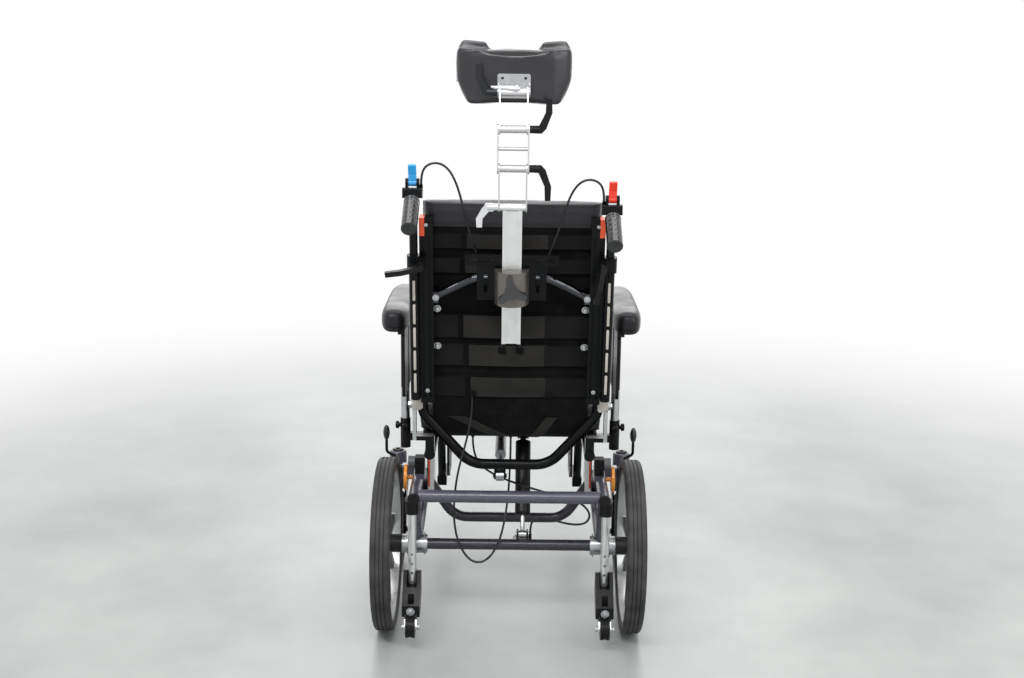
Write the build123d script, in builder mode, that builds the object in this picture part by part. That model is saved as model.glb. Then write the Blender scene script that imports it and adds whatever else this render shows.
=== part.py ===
from build123d import *
import os
from math import atan2, cos, degrees, hypot, pi, radians, sin, tan

# A tilt in space wheelchair in millimetres: +Z up, the sitter faces +Y, +X is to the right.
# The origin is on the floor under the middle of the chair. Heights are above the floor, and
# places fore and aft are given from the rear axle, which stands at axle_y.

# ---------------------------------------------------------------- wheels
wheel_radius = 200          # 16 inch transit wheel over its tyre
tyre_width = 44
tyre_depth = 24
wheel_track = 566           # between the middles of the rear tyres
rim_width = 34
rim_depth = 13
hub_radius = 21
hub_reach = 17              # outer face of the hub from the middle of the tyre
axle_nut = 5
spoke_count = 9
axle_radius = 6
bearing_gap = 0.05          # radial clearance of every turning shaft
side_gap = 0.3              # free play beside turning pieces

caster_radius = 100
caster_width = 32
caster_x = 290              # steering stem from the middle
caster_stem_y = 400         # steering stem ahead of the rear axle
caster_trail = 45
caster_axle_radius = 5
fork_plate = 5
fork_play = 3
stem_radius = 10
head_radius = 22
head_height = 78

# ---------------------------------------------------------------- base frame
tube_radius = 12.5
rail_x = 214                # side rails from the middle
rail_z = 345
rail_rear = -100            # open rear end of a rail, behind the axle
rail_bend_y = 130
slope_end_y = 300
nose_z = 235
cap_length = 5
upright_y = -48
cross_radius = 14
cross_y = -80
front_cross_y = 230
front_cross_drop = 182
front_cross_half = 135
axle_tube_radius = 13
collar_radius = 22
collar_inner = 189
collar_outer = 247
rest_y = 46                 # casting on the rail, beside the seat
rest_top = 398
reflector_radius = 31
reflector_y = 50
reflector_thickness = 8
reflector_x = 238

# ---------------------------------------------------------------- tilting seat
pivot_y = 250               # tilt axis ahead of the rear axle
pivot_z = 385
pivot_radius = 6
pivot_plate_x = 186
pivot_plate_thickness = 18
pivot_eye = 15
seat_rail_x = 182
seat_rail_z = 425
seat_rear = -25
seat_front = 500
panel_rear = 88
panel_half = 205
panel_thickness = 9
cross_stations = (185, 375, 486)
cushion_rear = 80
cushion_depth = 440
cushion_half = 222
cushion_thickness = 70

# ---------------------------------------------------------------- backrest
hinge_y = -10
hinge_z = 540
hinge_x = 213
ear_thickness = 8
ear_bridge_z = 467          # top of the crank that carries the ear over the base rail
back_angle = 8              # lean of the backrest at rest
back_tube_radius = 12
back_tube_x = 198
back_tube_top = 15
back_tube_drop = 149        # lowest run of the tube, below the hinge
back_tube_half = 90
cane_inner = 170
cane_outer = 200
cane_depth = 28
cane_bottom = 15.2
cane_top = 445
sleeve_x = 211
sleeve_v = -38
sleeve_radius = 11
sleeve_bottom = 30
sleeve_top = 358
clamp_v = -54                # rear face of the block that the handle lever tightens
strap_rows = ((20, 70), (95, 148), (162, 218), (313, 349), (369, 404))
strap_thickness = 3
back_cushion_overhang = 6    # cushion past the canes, on each side
back_cushion_depth = 62
back_cushion_bottom = -10
back_cushion_top = 480
crossbar_radius = 9.5
crossbar_low = 272
crossbar_high = 318

# ---------------------------------------------------------------- push handles
stem_rod_radius = 9
stem_low = 190
stem_high = 505
handle_drop = {"left": 0, "right": 32}
grip_droop = 22             # grip below square to its stem
grip_radius = 17
grip_start = 34
grip_length = 92
trigger_height = 42
trigger_pin_v = -40
housing_front_v = -29       # clears the cane when the handle slides down
gland_v = -36
gland_inset = 18            # gland of the release cable from the stem, across
gland_rise = 16
trigger_width = 17

# ---------------------------------------------------------------- headrest
bar_half = 20.5
bar_thickness = 12
bar_v = -66.2
bar_low = 176
bar_high = 481
clamp_half = 37
clamp_low = 269
clamp_high = 345
clamp_plate_half = 75
clamp_plate_low = 272
clamp_bar_half = 101
clamp_bar_low = 351
clamp_bar_height = 24
clamp_slot_x = 56
knob_radius = 34
knob_s = 307
joint_radius = 8
pin_radius = 3
link_plate = 3
link_width = 22
link_inner = 27.2
link_lengths = (84, 81, 76)
link_leans = (9, 1, -14)     # degrees back from upright
pad_half = 124
pad_height = 119
pad_rise = 17               # the wings' tops above the middle
pad_wing_inner = 52
pad_depth = 62
pad_wing = 26
pad_drop = 41               # lower edge of the pad below the plate's middle
pad_waist = 98              # half width of the lower edge
lever_width = 11

# ---------------------------------------------------------------- armrests
arm_y = 120
arm_x = 248
post_radius = 10
socket_radius = 12
socket_low = 398
socket_high = 470
pad_top = 757
arm_pad_thickness = 52
arm_pad_width = 66
arm_pad_offset = 14         # middle of the pad outside its post
arm_pad_rear = -20
arm_pad_length = 350
guard_low = 545
guard_rear = 15
guard_length = 230

# ---------------------------------------------------------------- legrests
leg_x = 188
leg_pin_y = 514
leg_low_z = 140
leg_low_y = 640
foot_ahead = 16             # inner end of a footplate ahead of the hanger's middle
foot_length = 94
foot_reach = 180
foot_offset = 18            # the plate beside its hinge, clear of the hanger
leg_tube_radius = 11

# ---------------------------------------------------------------- gas springs
tilt_x = 32
tilt_foot_y = 10
tilt_foot_z = 222
tilt_head_y = 160
tilt_head_z = 420
tilt_cylinder_radius = 18
recline_x = -22
recline_foot_y = 345
recline_foot_z = 375
recline_cylinder_radius = 13
spring_rod_radius = 5
spring_pin_radius = 5
eye_half = 9
tilt_eye_play = 1.6         # open pivot at the tilt spring's head
recline_eye_play = 4.3      # open pivot at the recline spring's rod end

# ---------------------------------------------------------------- brakes and anti-tippers
brake_y = 190
brake_z = 318
brake_reach = 30
brake_angle = 296.3
brake_shoe_radius = 7
brake_grip_x = 300
brake_grip_z = 415
tipper_x = 219
tipper_y = -75
tipper_radius = 9.5
tipper_socket = 15
tipper_low = 130
tipper_top = 328
tipper_wheel_radius = 25
tipper_wheel_y = -140
tipper_wheel_z = 55

cable_radius = 2.5
seat_glands = (-90, 2)      # where the two cables meet the seat, across
seat_gland_z = 404
rod_gland_x = 50            # gland of the tilt spring's cable
rod_gland_top = 226

# ---------------------------------------------------------------- derived places
lean = radians(back_angle)
droop = radians(grip_droop)
grip_end = grip_start + grip_length
foot_rear = leg_low_y + foot_ahead
grip_rear = (hinge_y - stem_high * sin(lean) + sleeve_v * cos(lean)
             - grip_end * cos(lean + droop) - grip_radius * sin(lean + droop))
foot_front = foot_rear + foot_length
axle_y = -(foot_front + grip_rear) / 2
axle_z = wheel_radius
nut_x = wheel_track / 2 + hub_reach + 1
recline_eye = spring_pin_radius + recline_eye_play + 3
recline_head_s = -(back_tube_drop + back_tube_radius + recline_eye + recline_eye_play + 1)
link_outer = link_inner + link_plate + 0.2
seat_top = seat_rail_z + tube_radius + panel_thickness - 1.5
back_cushion_half = cane_outer + back_cushion_overhang

SIDES = {"left": -1, "right": 1}

os.makedirs("parts", exist_ok=True)


def station(y):
    """A place fore and aft, measured from the rear axle."""
    return axle_y + y


back = Plane(
    origin=(0, station(hinge_y), hinge_z),
    x_dir=(1, 0, 0),
    z_dir=(0, -sin(lean), cos(lean)),
)


def within(frame, plane):
    """The same plane, carried into a sub-assembly's own frame."""
    return Plane(frame.location * plane.location)


def across(x_from, x_to):
    """The two ends of a run across the chair, the lower first."""
    return min(x_from, x_to), max(x_from, x_to)


def rod_x(x_from, x_to, y, z, radius, mode=Mode.ADD, frame=Plane.XY):
    """A round bar or bore along X."""
    low, high = across(x_from, x_to)
    with BuildSketch(within(frame, Plane.YZ.offset(low))) as disc:
        with Locations((y, z)):
            Circle(radius)
    extrude(disc.sketch, amount=high - low, mode=mode)


def rod_y(x, y_from, y_to, z, radius, mode=Mode.ADD, frame=Plane.XY):
    """A round bar or bore along Y."""
    with BuildSketch(within(frame, Plane.XZ.offset(-y_to))) as disc:
        with Locations((x, z)):
            Circle(radius)
    extrude(disc.sketch, amount=y_to - y_from, mode=mode)


def rod_z(x, y, z_from, z_to, radius, mode=Mode.ADD, frame=Plane.XY):
    """A round bar or bore along Z."""
    with BuildSketch(within(frame, Plane.XY.offset(z_from))) as disc:
        with Locations((x, y)):
            Circle(radius)
    extrude(disc.sketch, amount=z_to - z_from, mode=mode)


def block(x_from, x_to, y_from, y_to, z_from, z_to, radius=0.0, mode=Mode.ADD, frame=Plane.XY):
    """A bar of rectangular plan with rounded upright corners."""
    low, high = across(x_from, x_to)
    with BuildSketch(within(frame, Plane.XY.offset(z_from))) as plan:
        with Locations(((low + high) / 2, (y_from + y_to) / 2)):
            if radius:
                RectangleRounded(high - low, y_to - y_from, radius)
            else:
                Rectangle(high - low, y_to - y_from)
    extrude(plan.sketch, amount=z_to - z_from, mode=mode)


def side_plate(x_from, x_to, points, mode=Mode.ADD, corner=0.0, frame=Plane.XY):
    """A plate seen from the side: an outline in Y and Z, as thick as its run across."""
    low, high = across(x_from, x_to)
    with BuildSketch(within(frame, Plane.YZ.offset(low))) as outline:
        with BuildLine():
            Polyline(*points, close=True)
        make_face()
        if corner:
            fillet(outline.vertices(), corner)
    extrude(outline.sketch, amount=high - low, mode=mode)


def strap_link(x_from, x_to, start, end, width, frame=Plane.XY):
    """A flat link with round ends between two points in Y and Z."""
    low, high = across(x_from, x_to)
    run = hypot(end[0] - start[0], end[1] - start[1])
    angle = degrees(atan2(end[1] - start[1], end[0] - start[0]))
    middle = ((start[0] + end[0]) / 2, (start[1] + end[1]) / 2)
    with BuildSketch(within(frame, Plane.YZ.offset(low))) as outline:
        with Locations(middle):
            SlotCenterToCenter(run, width, rotation=angle)
    extrude(outline.sketch, amount=high - low)


def bent_tube(points, radii, radius):
    """A round tube along straight runs joined by bends."""
    with BuildLine() as route:
        FilletPolyline(*points, radius=radii)
    start = Plane(origin=route.line @ 0, z_dir=route.line % 0)
    with BuildSketch(start) as disc:
        Circle(radius)
    sweep(disc.sketch, path=route.line)


def straight_tube(start, end, radius, mode=Mode.ADD):
    """A round tube between two points."""
    run = Vector(*end) - Vector(*start)
    with BuildSketch(Plane(origin=start, z_dir=run)) as disc:
        Circle(radius)
    extrude(disc.sketch, amount=run.length, mode=mode)


def save(builder, label):
    """Names a finished piece and writes its file."""
    builder.part.label = label
    export_step(builder.part, f"parts/{label}.step")


# ================================================================ base
def side_frame(side):
    """One welded side: rail, nose, lower tube, upright, tilt plate, caster head and sockets."""
    x = side * rail_x
    with BuildPart() as frame:
        bent_tube(
            [
                (x, station(rail_rear), rail_z),
                (x, station(rail_bend_y), rail_z),
                (x, station(slope_end_y), nose_z),
                (x, station(caster_stem_y + head_radius), nose_z),
            ],
            [90, 70],
            tube_radius,
        )
        straight_tube((x, axle_y, axle_z), (x, station(slope_end_y), nose_z), tube_radius)
        straight_tube((x, station(upright_y), rail_z), (x, axle_y, axle_z), tube_radius)
        # the plastic cap in the open rear end
        rod_y(x, station(rail_rear - cap_length), station(rail_rear), rail_z, tube_radius + 1)
        fillet(frame.faces().sort_by(Axis.Y)[0].edges(), 3)
        # the plate that carries the tilt pivot
        side_plate(
            side * pivot_plate_x,
            side * (pivot_plate_x + pivot_plate_thickness),
            [
                (station(pivot_y - 32), 222),
                (station(pivot_y + 32), 226),
                (station(pivot_y + pivot_eye), pivot_z),
                (station(pivot_y - pivot_eye), pivot_z),
            ],
        )
        rod_x(
            side * pivot_plate_x,
            side * (pivot_plate_x + pivot_plate_thickness),
            station(pivot_y), pivot_z, pivot_eye,
        )
        # the caster head and its arm
        head_low = caster_radius * 2 + head_radius
        block(
            x, side * caster_x, station(caster_stem_y - 18), station(caster_stem_y + 18),
            nose_z - 3, nose_z + 22,
        )
        rod_z(side * caster_x, station(caster_stem_y), head_low, head_low + head_height, head_radius)
        head_top = (side * caster_x, station(caster_stem_y), head_low + head_height)
        fillet(frame.faces().sort_by_distance(head_top)[0].edges(), 6)
        # the bracket of the parking brake
        side_plate(
            side * (rail_x - 4), side * 261.7,
            [
                (station(brake_y - 14), brake_z - 18),
                (station(brake_y + 14), brake_z - 18),
                (station(brake_y + 14), brake_z + 13),
                (station(brake_y - 14), brake_z + 13),
            ],
            corner=5,
        )
        rod_x(side * 255, side * 281, station(brake_y), brake_z, 5)
        # the ribbed casting that the seat comes down beside, with its round boss
        rest_x = side * (seat_rail_x + tube_radius + 3)
        rest_outer = side * (reflector_x - 2)
        block(rest_x, x + side * 6, station(rest_y - 14), station(rest_y + 14), rail_z, rest_top)
        rod_x(x, rest_outer, station(rest_y), rest_top - 14, 14)
        for pocket in (-1, 1):
            side_plate(
                rest_x - side, rest_x + side * 5,
                [
                    (station(rest_y + pocket * 3), rest_top - 10),
                    (station(rest_y + pocket * 11), rest_top - 4),
                    (station(rest_y + pocket * 11), rest_top - 24),
                    (station(rest_y + pocket * 3), rest_top - 18),
                ],
                mode=Mode.SUBTRACT,
            )
        for lift in (0, 20):
            with BuildSketch(Plane.XZ.offset(-station(rest_y - 11))) as pocket:
                with Locations(((rest_x + x) / 2 + side * 3, rest_top - 10 - lift)):
                    Rectangle(12, 12, rotation=45)
            extrude(pocket.sketch, amount=6, mode=Mode.SUBTRACT)
        # the socket that the anti-tipper turns in
        rod_z(side * tipper_x, station(tipper_y), 302, rail_z - 6, tipper_socket)
        # bores for the pieces that turn
        rod_x(side * 170, side * 230, station(pivot_y), pivot_z, pivot_radius + bearing_gap,
              mode=Mode.SUBTRACT)
        rod_z(side * caster_x, station(caster_stem_y), head_low - 1, head_low + head_height - 8,
              stem_radius + bearing_gap, mode=Mode.SUBTRACT)
        rod_z(side * tipper_x, station(tipper_y), 301, tipper_top + 2, tipper_radius + bearing_gap,
              mode=Mode.SUBTRACT)
        rod_x(side * collar_inner, side * collar_outer, axle_y, axle_z, collar_radius,
              mode=Mode.SUBTRACT)
    return frame


for name, side in SIDES.items():
    save(side_frame(side), f"side_frame_{name}")

with BuildPart() as rear_cross_tube:
    rod_x(-rail_x, rail_x, station(cross_y), rail_z, cross_radius)
    for side in SIDES.values():
        rod_y(side * rail_x, station(cross_y - 30), station(cross_y + 30), rail_z, tube_radius,
              mode=Mode.SUBTRACT)
    # only the run between the rails is left
    for side in SIDES.values():
        block(side * (tipper_x - tipper_socket - 0.2), side * (rail_x + 20), station(cross_y - 30),
              station(cross_y + 30), rail_z - 30, rail_z + 30, mode=Mode.SUBTRACT)
save(rear_cross_tube, "rear_cross_tube")

slope_share = (front_cross_y - rail_bend_y) / (slope_end_y - rail_bend_y)
slope_z = rail_z - slope_share * (rail_z - nose_z)
with BuildPart() as front_cross_tube:
    bent_tube(
        [
            (-rail_x + tube_radius, station(front_cross_y), slope_z),
            (-front_cross_half, station(front_cross_y), front_cross_drop),
            (front_cross_half, station(front_cross_y), front_cross_drop),
            (rail_x - tube_radius, station(front_cross_y), slope_z),
        ],
        [60, 60],
        tube_radius,
    )
    for side in SIDES.values():
        straight_tube(
            (side * rail_x, station(rail_bend_y), rail_z),
            (side * rail_x, station(slope_end_y), nose_z),
            tube_radius, mode=Mode.SUBTRACT,
        )
        side_plate(
            side * pivot_plate_x, side * (rail_x + 30),
            [
                (station(pivot_y - 60), 200),
                (station(pivot_y + 40), 200),
                (station(pivot_y + 40), 320),
                (station(pivot_y - 60), 320),
            ],
            mode=Mode.SUBTRACT,
        )
save(front_cross_tube, "front_cross_tube")

with BuildPart() as rear_axle:
    rod_x(-collar_inner, collar_inner, axle_y, axle_z, axle_tube_radius)
    for side in SIDES.values():
        rod_x(side * collar_inner, side * collar_outer, axle_y, axle_z, collar_radius)
        rod_x(side * collar_outer, side * nut_x, axle_y, axle_z, axle_radius)
        rod_x(side * nut_x, side * (nut_x + axle_nut), axle_y, axle_z, 12)
        for groove in (collar_inner + 5, collar_outer - 14):
            rod_x(side * groove, side * (groove + 2), axle_y, axle_z, collar_radius + 5)
    # the fork that holds the tilt spring's foot
    block(tilt_x - 22, tilt_x + 22, station(-4), station(22), 204, 212)
    for ear in (-1, 1):
        side_plate(
            tilt_x + ear * (eye_half + side_gap), tilt_x + ear * (eye_half + side_gap + 4),
            [
                (station(-4), 208),
                (station(24), 208),
                (station(20), tilt_foot_z + 9),
                (station(0), tilt_foot_z + 9),
            ],
        )
    rod_z(rod_gland_x, station(3), 211, rod_gland_top, 3.5)
    rod_x(tilt_x - 16, tilt_x + 16, station(tilt_foot_y), tilt_foot_z, spring_pin_radius)
save(rear_axle, "rear_axle")

with BuildPart() as reflectors:
    for side in SIDES.values():
        rod_x(side * reflector_x, side * (reflector_x + reflector_thickness),
              station(reflector_y), rail_z, reflector_radius)
        rod_x(side * (rail_x + tube_radius), side * reflector_x, station(reflector_y), rail_z, 5)
    fillet(reflectors.edges().filter_by(GeomType.CIRCLE).filter_by(
        lambda edge: abs(edge.radius - reflector_radius) < 0.01), 2.5)
save(reflectors, "reflectors")


# ================================================================ wheels
def rear_wheel(side):
    """A transit wheel: grooved tyre on a rim with straight spokes and a deep hub."""
    middle = side * wheel_track / 2
    spin = Axis((0, axle_y, axle_z), (1, 0, 0))
    section = Plane(origin=(middle, axle_y, axle_z), x_dir=(1, 0, 0), z_dir=(0, -1, 0))
    inner_face = collar_outer + 2 - abs(middle)
    with BuildPart() as wheel:
        with BuildSketch(section) as profile:
            with Locations((0, wheel_radius - tyre_depth / 2)):
                RectangleRounded(tyre_width, tyre_depth, 9)
            with Locations((-9, wheel_radius), (0, wheel_radius), (9, wheel_radius)):
                Rectangle(2.4, 5, mode=Mode.SUBTRACT)
            with Locations((0, wheel_radius - tyre_depth - rim_depth / 2 + 2)):
                Rectangle(rim_width, rim_depth)
            with Locations((side * (inner_face + hub_reach) / 2, (hub_radius + 6) / 2)):
                Rectangle(hub_reach - inner_face, hub_radius - 6)
        revolve(profile.sketch, axis=spin)
        rim_inner = wheel_radius - tyre_depth - rim_depth + 2
        spoke_run = rim_inner - hub_radius + 4
        with BuildSketch(Plane.YZ.offset(middle - 5)) as spokes:
            with Locations((axle_y, axle_z)):
                with PolarLocations((rim_inner + hub_radius) / 2, spoke_count):
                    Trapezoid(24, spoke_run, 86, rotation=90)
        extrude(spokes.sketch, amount=10)
        rod_x(side * (collar_outer - 7), side * (nut_x + 7), axle_y, axle_z,
              axle_radius + bearing_gap, mode=Mode.SUBTRACT)
    return wheel


def caster_fork(side):
    """The steering fork: stem, crown and two swept legs with the wheel's axle."""
    x = side * caster_x
    wheel_y = station(caster_stem_y - caster_trail)
    stem_y = station(caster_stem_y)
    top = caster_radius * 2 + head_radius
    inner = caster_width / 2 + fork_play
    with BuildPart() as fork:
        rod_z(x, stem_y, top - 2, top + head_height - 10, stem_radius)
        side_plate(
            x - inner - fork_plate, x + inner + fork_plate,
            [
                (stem_y + 22, top - 0.5),
                (stem_y - 28, top - 0.5),
                (stem_y - 40, top - 14),
                (stem_y + 24, top - 14),
            ],
        )
        for leg in (-1, 1):
            side_plate(
                x + leg * inner, x + leg * (inner + fork_plate),
                [
                    (stem_y + 24, top - 10),
                    (stem_y - 40, top - 10),
                    (wheel_y - 14, caster_radius + 4),
                    (wheel_y + 14, caster_radius - 4),
                ],
            )
            rod_x(x + leg * inner, x + leg * (inner + fork_plate), wheel_y, caster_radius, 14)
        rod_x(x - inner, x + inner, wheel_y, caster_radius, caster_axle_radius)
        rod_x(x - inner - fork_plate - 3, x - inner, wheel_y, caster_radius, 7)
        rod_x(x + inner, x + inner + fork_plate + 3, wheel_y, caster_radius, 7)
    return fork


def caster_wheel(side):
    """A front wheel: rounded tyre, dished web with round openings and a hub."""
    x = side * caster_x
    wheel_y = station(caster_stem_y - caster_trail)
    spin = Axis((0, wheel_y, caster_radius), (1, 0, 0))
    section = Plane(origin=(x, wheel_y, caster_radius), x_dir=(1, 0, 0), z_dir=(0, -1, 0))
    with BuildPart() as wheel:
        with BuildSketch(section) as profile:
            with Locations((0, caster_radius - 12)):
                RectangleRounded(caster_width, 24, 10)
            with Locations((0, 48)):
                Rectangle(10, 64)
            with Locations((0, 14)):
                Rectangle(caster_width + 2 * fork_play - 1, 16)
        revolve(profile.sketch, axis=spin)
        with BuildSketch(Plane.YZ.offset(x - 10)) as windows:
            with Locations((wheel_y, caster_radius)):
                with PolarLocations(49, 6):
                    Circle(15)
        extrude(windows.sketch, amount=20, mode=Mode.SUBTRACT)
        rod_x(x - 30, x + 30, wheel_y, caster_radius, caster_axle_radius + bearing_gap,
              mode=Mode.SUBTRACT)
    return wheel


for name, side in SIDES.items():
    save(rear_wheel(side), f"rear_wheel_{name}")
    save(caster_fork(side), f"caster_fork_{name}")
    save(caster_wheel(side), f"caster_wheel_{name}")


# ================================================================ parking brakes
def parking_brake(side):
    """A hand lever that swings a round shoe onto the tyre."""
    pivot = station(brake_y)
    shoe_y = pivot + brake_reach * cos(radians(brake_angle))
    shoe_z = brake_z + brake_reach * sin(radians(brake_angle))
    plate_x = side * 272
    with BuildPart() as brake:
        rod_x(side * 262, side * 278, pivot, brake_z, 11)
        strap_link(plate_x, side * 278, (pivot, brake_z), (shoe_y, shoe_z), 2 * brake_shoe_radius)
        strap_link(plate_x, side * 278, (pivot, brake_z), (pivot, brake_z + 26), 14)
        rod_x(side * 278, side * nut_x, shoe_y, shoe_z, brake_shoe_radius)
        bent_tube(
            [
                (side * 275, pivot, brake_z + 20),
                (side * 281, pivot, brake_z + 34),
                (side * brake_grip_x, pivot, brake_z + 44),
                (side * brake_grip_x, pivot, brake_grip_z - 10),
            ],
            [8, 10],
            3.5,
        )
        with BuildSketch(Plane.XZ.offset(-pivot)) as grip:
            with Locations((side * brake_grip_x, brake_grip_z - 4)):
                Ellipse(8, 19)
            with Locations((side * (brake_grip_x + 10), brake_grip_z - 4)):
                Rectangle(20, 60, mode=Mode.SUBTRACT)
        revolve(grip.sketch, axis=Axis((side * brake_grip_x, pivot, 0), (0, 0, 1)))
        rod_x(side * 260, side * 283, pivot, brake_z, 5 + bearing_gap, mode=Mode.SUBTRACT)
    return brake


# ================================================================ anti-tippers
def anti_tip_arm(side):
    """A drilled tube with a moulded foot pedal and a fork for the small wheel."""
    x = side * tipper_x
    y = station(tipper_y)
    with BuildPart() as arm:
        side_plate(
            x - 20, x + 20,
            [
                (y + 15, 160),
                (y - 8, 165),
                (y - 24, 140),
                (y - 56, 100),
                (y - 58, 74),
                (y - 28, 70),
                (y + 15, 112),
            ],
            corner=4,
        )
        # the slot that shows the lower holes of the tube
        block(x - 11.5, x + 11.5, y - 70, y + 1, 134, 180, mode=Mode.SUBTRACT)
        block(x - 7, x + 7, y - 70, y - 38, 104, 140, mode=Mode.SUBTRACT)
        rod_x(x - 12, x + 12, station(tipper_wheel_y), tipper_wheel_z, tipper_wheel_radius + 2,
              mode=Mode.SUBTRACT)
        rod_z(x, y, tipper_low, tipper_top, tipper_radius)
        with BuildSketch(Plane.XZ.offset(-(y + 20))) as holes:
            with Locations((x, 138), (x, 160.6), (x, 183.2), (x, 206)):
                Circle(3.2)
        extrude(holes.sketch, amount=18 + 20, mode=Mode.SUBTRACT)
        rod_y(x, y - 62, y - 50, 90, 7)
        for ear in (-1, 1):
            strap_link(
                x + ear * 11, x + ear * 14,
                (y - 44, 84), (station(tipper_wheel_y), tipper_wheel_z), 18,
            )
        rod_x(x - 17, x + 17, station(tipper_wheel_y), tipper_wheel_z, 4)
    return arm


def anti_tip_wheel(side):
    x = side * tipper_x
    y = station(tipper_wheel_y)
    spin = Axis((0, y, tipper_wheel_z), (1, 0, 0))
    section = Plane(origin=(x, y, tipper_wheel_z), x_dir=(1, 0, 0), z_dir=(0, -1, 0))
    with BuildPart() as wheel:
        with BuildSketch(section) as profile:
            with Locations((0, tipper_wheel_radius / 2)):
                Rectangle(21, tipper_wheel_radius)
            with Locations((0, tipper_wheel_radius)):
                Rectangle(6, 3, mode=Mode.SUBTRACT)
        revolve(profile.sketch, axis=spin)
        rod_x(x - 20, x + 20, y, tipper_wheel_z, 4 + bearing_gap, mode=Mode.SUBTRACT)
    return wheel


for name, side in SIDES.items():
    save(parking_brake(side), f"parking_brake_{name}")
    save(anti_tip_arm(side), f"anti_tip_arm_{name}")
    save(anti_tip_wheel(side), f"anti_tip_wheel_{name}")


# ================================================================ seat
with BuildPart() as seat_frame:
    for side in SIDES.values():
        x = side * seat_rail_x
        rod_y(x, station(seat_rear), station(seat_front), seat_rail_z, tube_radius)
        # the ear of the recline hinge, cranked outwards over the base rail
        block(x - 10, x + 10, station(hinge_y - 12), station(hinge_y + 12),
              seat_rail_z + 8, ear_bridge_z)
        block(x, side * (hinge_x + ear_thickness), station(hinge_y - 12), station(hinge_y + 12),
              ear_bridge_z - 10, ear_bridge_z)
        block(side * hinge_x, side * (hinge_x + ear_thickness), station(hinge_y - 12),
              station(hinge_y + 12), ear_bridge_z - 10, hinge_z)
        rod_x(side * hinge_x, side * (hinge_x + ear_thickness), station(hinge_y), hinge_z, 16)
        rod_x(side * 200, side * hinge_x, station(hinge_y), hinge_z, pivot_radius)
        rod_x(side * (hinge_x + ear_thickness), side * (hinge_x + ear_thickness + 4),
              station(hinge_y), hinge_z, 9)
        # the lug and pin of the tilt pivot
        lug_x = pivot_plate_x - side_gap
        side_plate(
            side * (lug_x - 8), side * lug_x,
            [
                (station(pivot_y - 30), seat_rail_z - 6),
                (station(pivot_y + 30), seat_rail_z - 6),
                (station(pivot_y + pivot_eye), pivot_z),
                (station(pivot_y - pivot_eye), pivot_z),
            ],
        )
        rod_x(side * (lug_x - 8), side * lug_x, station(pivot_y), pivot_z, pivot_eye)
        rod_x(side * lug_x, side * (pivot_plate_x + pivot_plate_thickness + 12),
              station(pivot_y), pivot_z, pivot_radius)
        # the arm and socket of the armrest
        block(x, side * arm_x, station(arm_y - 9), station(arm_y + 9),
              seat_rail_z - 9, seat_rail_z + 9)
        rod_z(side * arm_x, station(arm_y), socket_low, socket_high, socket_radius)
        rod_y(side * arm_x, station(arm_y - 30), station(arm_y), socket_high - 16, 7)
        rod_z(side * arm_x, station(arm_y), socket_low + 4, socket_high + 1,
              post_radius + bearing_gap, mode=Mode.SUBTRACT)
        # the receiver of the legrest
        rod_z(side * leg_x, station(leg_pin_y), seat_rail_z - tube_radius, seat_rail_z + 11, 15)
        rod_z(side * leg_x, station(leg_pin_y), seat_rail_z - 14, seat_rail_z + 12,
              7 + bearing_gap, mode=Mode.SUBTRACT)
    for y in cross_stations:
        rod_x(-seat_rail_x, seat_rail_x, station(y), seat_rail_z, tube_radius)
    block(-panel_half, panel_half, station(panel_rear), station(seat_front),
          seat_top - panel_thickness, seat_top, radius=14)
    for ear in (-1, 1):
        # the lugs of the tilt spring's head
        strap_link(
            tilt_x + ear * (eye_half + side_gap), tilt_x + ear * (eye_half + side_gap + 4),
            (station(tilt_head_y), tilt_head_z), (station(cross_stations[0]), seat_rail_z), 22,
        )
        # the lugs of the recline spring's foot
        strap_link(
            recline_x + ear * (eye_half + side_gap), recline_x + ear * (eye_half + side_gap + 4),
            (station(recline_foot_y), recline_foot_z), (station(cross_stations[1]), seat_rail_z), 22,
        )
    for gland in seat_glands:
        rod_z(gland, station(cross_stations[0]), seat_gland_z, seat_rail_z, 4)
    rod_x(tilt_x - 16, tilt_x + 16, station(tilt_head_y), tilt_head_z, spring_pin_radius)
    rod_x(recline_x - 16, recline_x + 16, station(recline_foot_y), recline_foot_z,
          spring_pin_radius)
save(seat_frame, "seat_frame")

cushion_base = seat_top + 0.3
with BuildPart() as seat_cushion:
    # crowned section across the seat, drawn in along both sides
    with BuildSketch(Plane.XZ.offset(-station(cushion_rear + cushion_depth))) as section:
        with BuildLine():
            Polyline(
                (-cushion_half + 8, cushion_base + cushion_thickness - 12),
                (-cushion_half, cushion_base + cushion_thickness / 2),
                (-cushion_half + 5, cushion_base),
                (cushion_half - 5, cushion_base),
                (cushion_half, cushion_base + cushion_thickness / 2),
                (cushion_half - 8, cushion_base + cushion_thickness - 12),
            )
            ThreePointArc(
                (-cushion_half + 8, cushion_base + cushion_thickness - 12),
                (0, cushion_base + cushion_thickness),
                (cushion_half - 8, cushion_base + cushion_thickness - 12),
            )
        make_face()
    extrude(section.sketch, amount=cushion_depth)
    front = seat_cushion.faces().sort_by(Axis.Y)[-1]
    fillet(front.edges().sort_by(Axis.Z)[-1], 30)
    fillet(seat_cushion.faces().sort_by(Axis.Y)[0].edges().sort_by(Axis.Z)[-1], 12)
save(seat_cushion, "seat_cushion")


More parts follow.
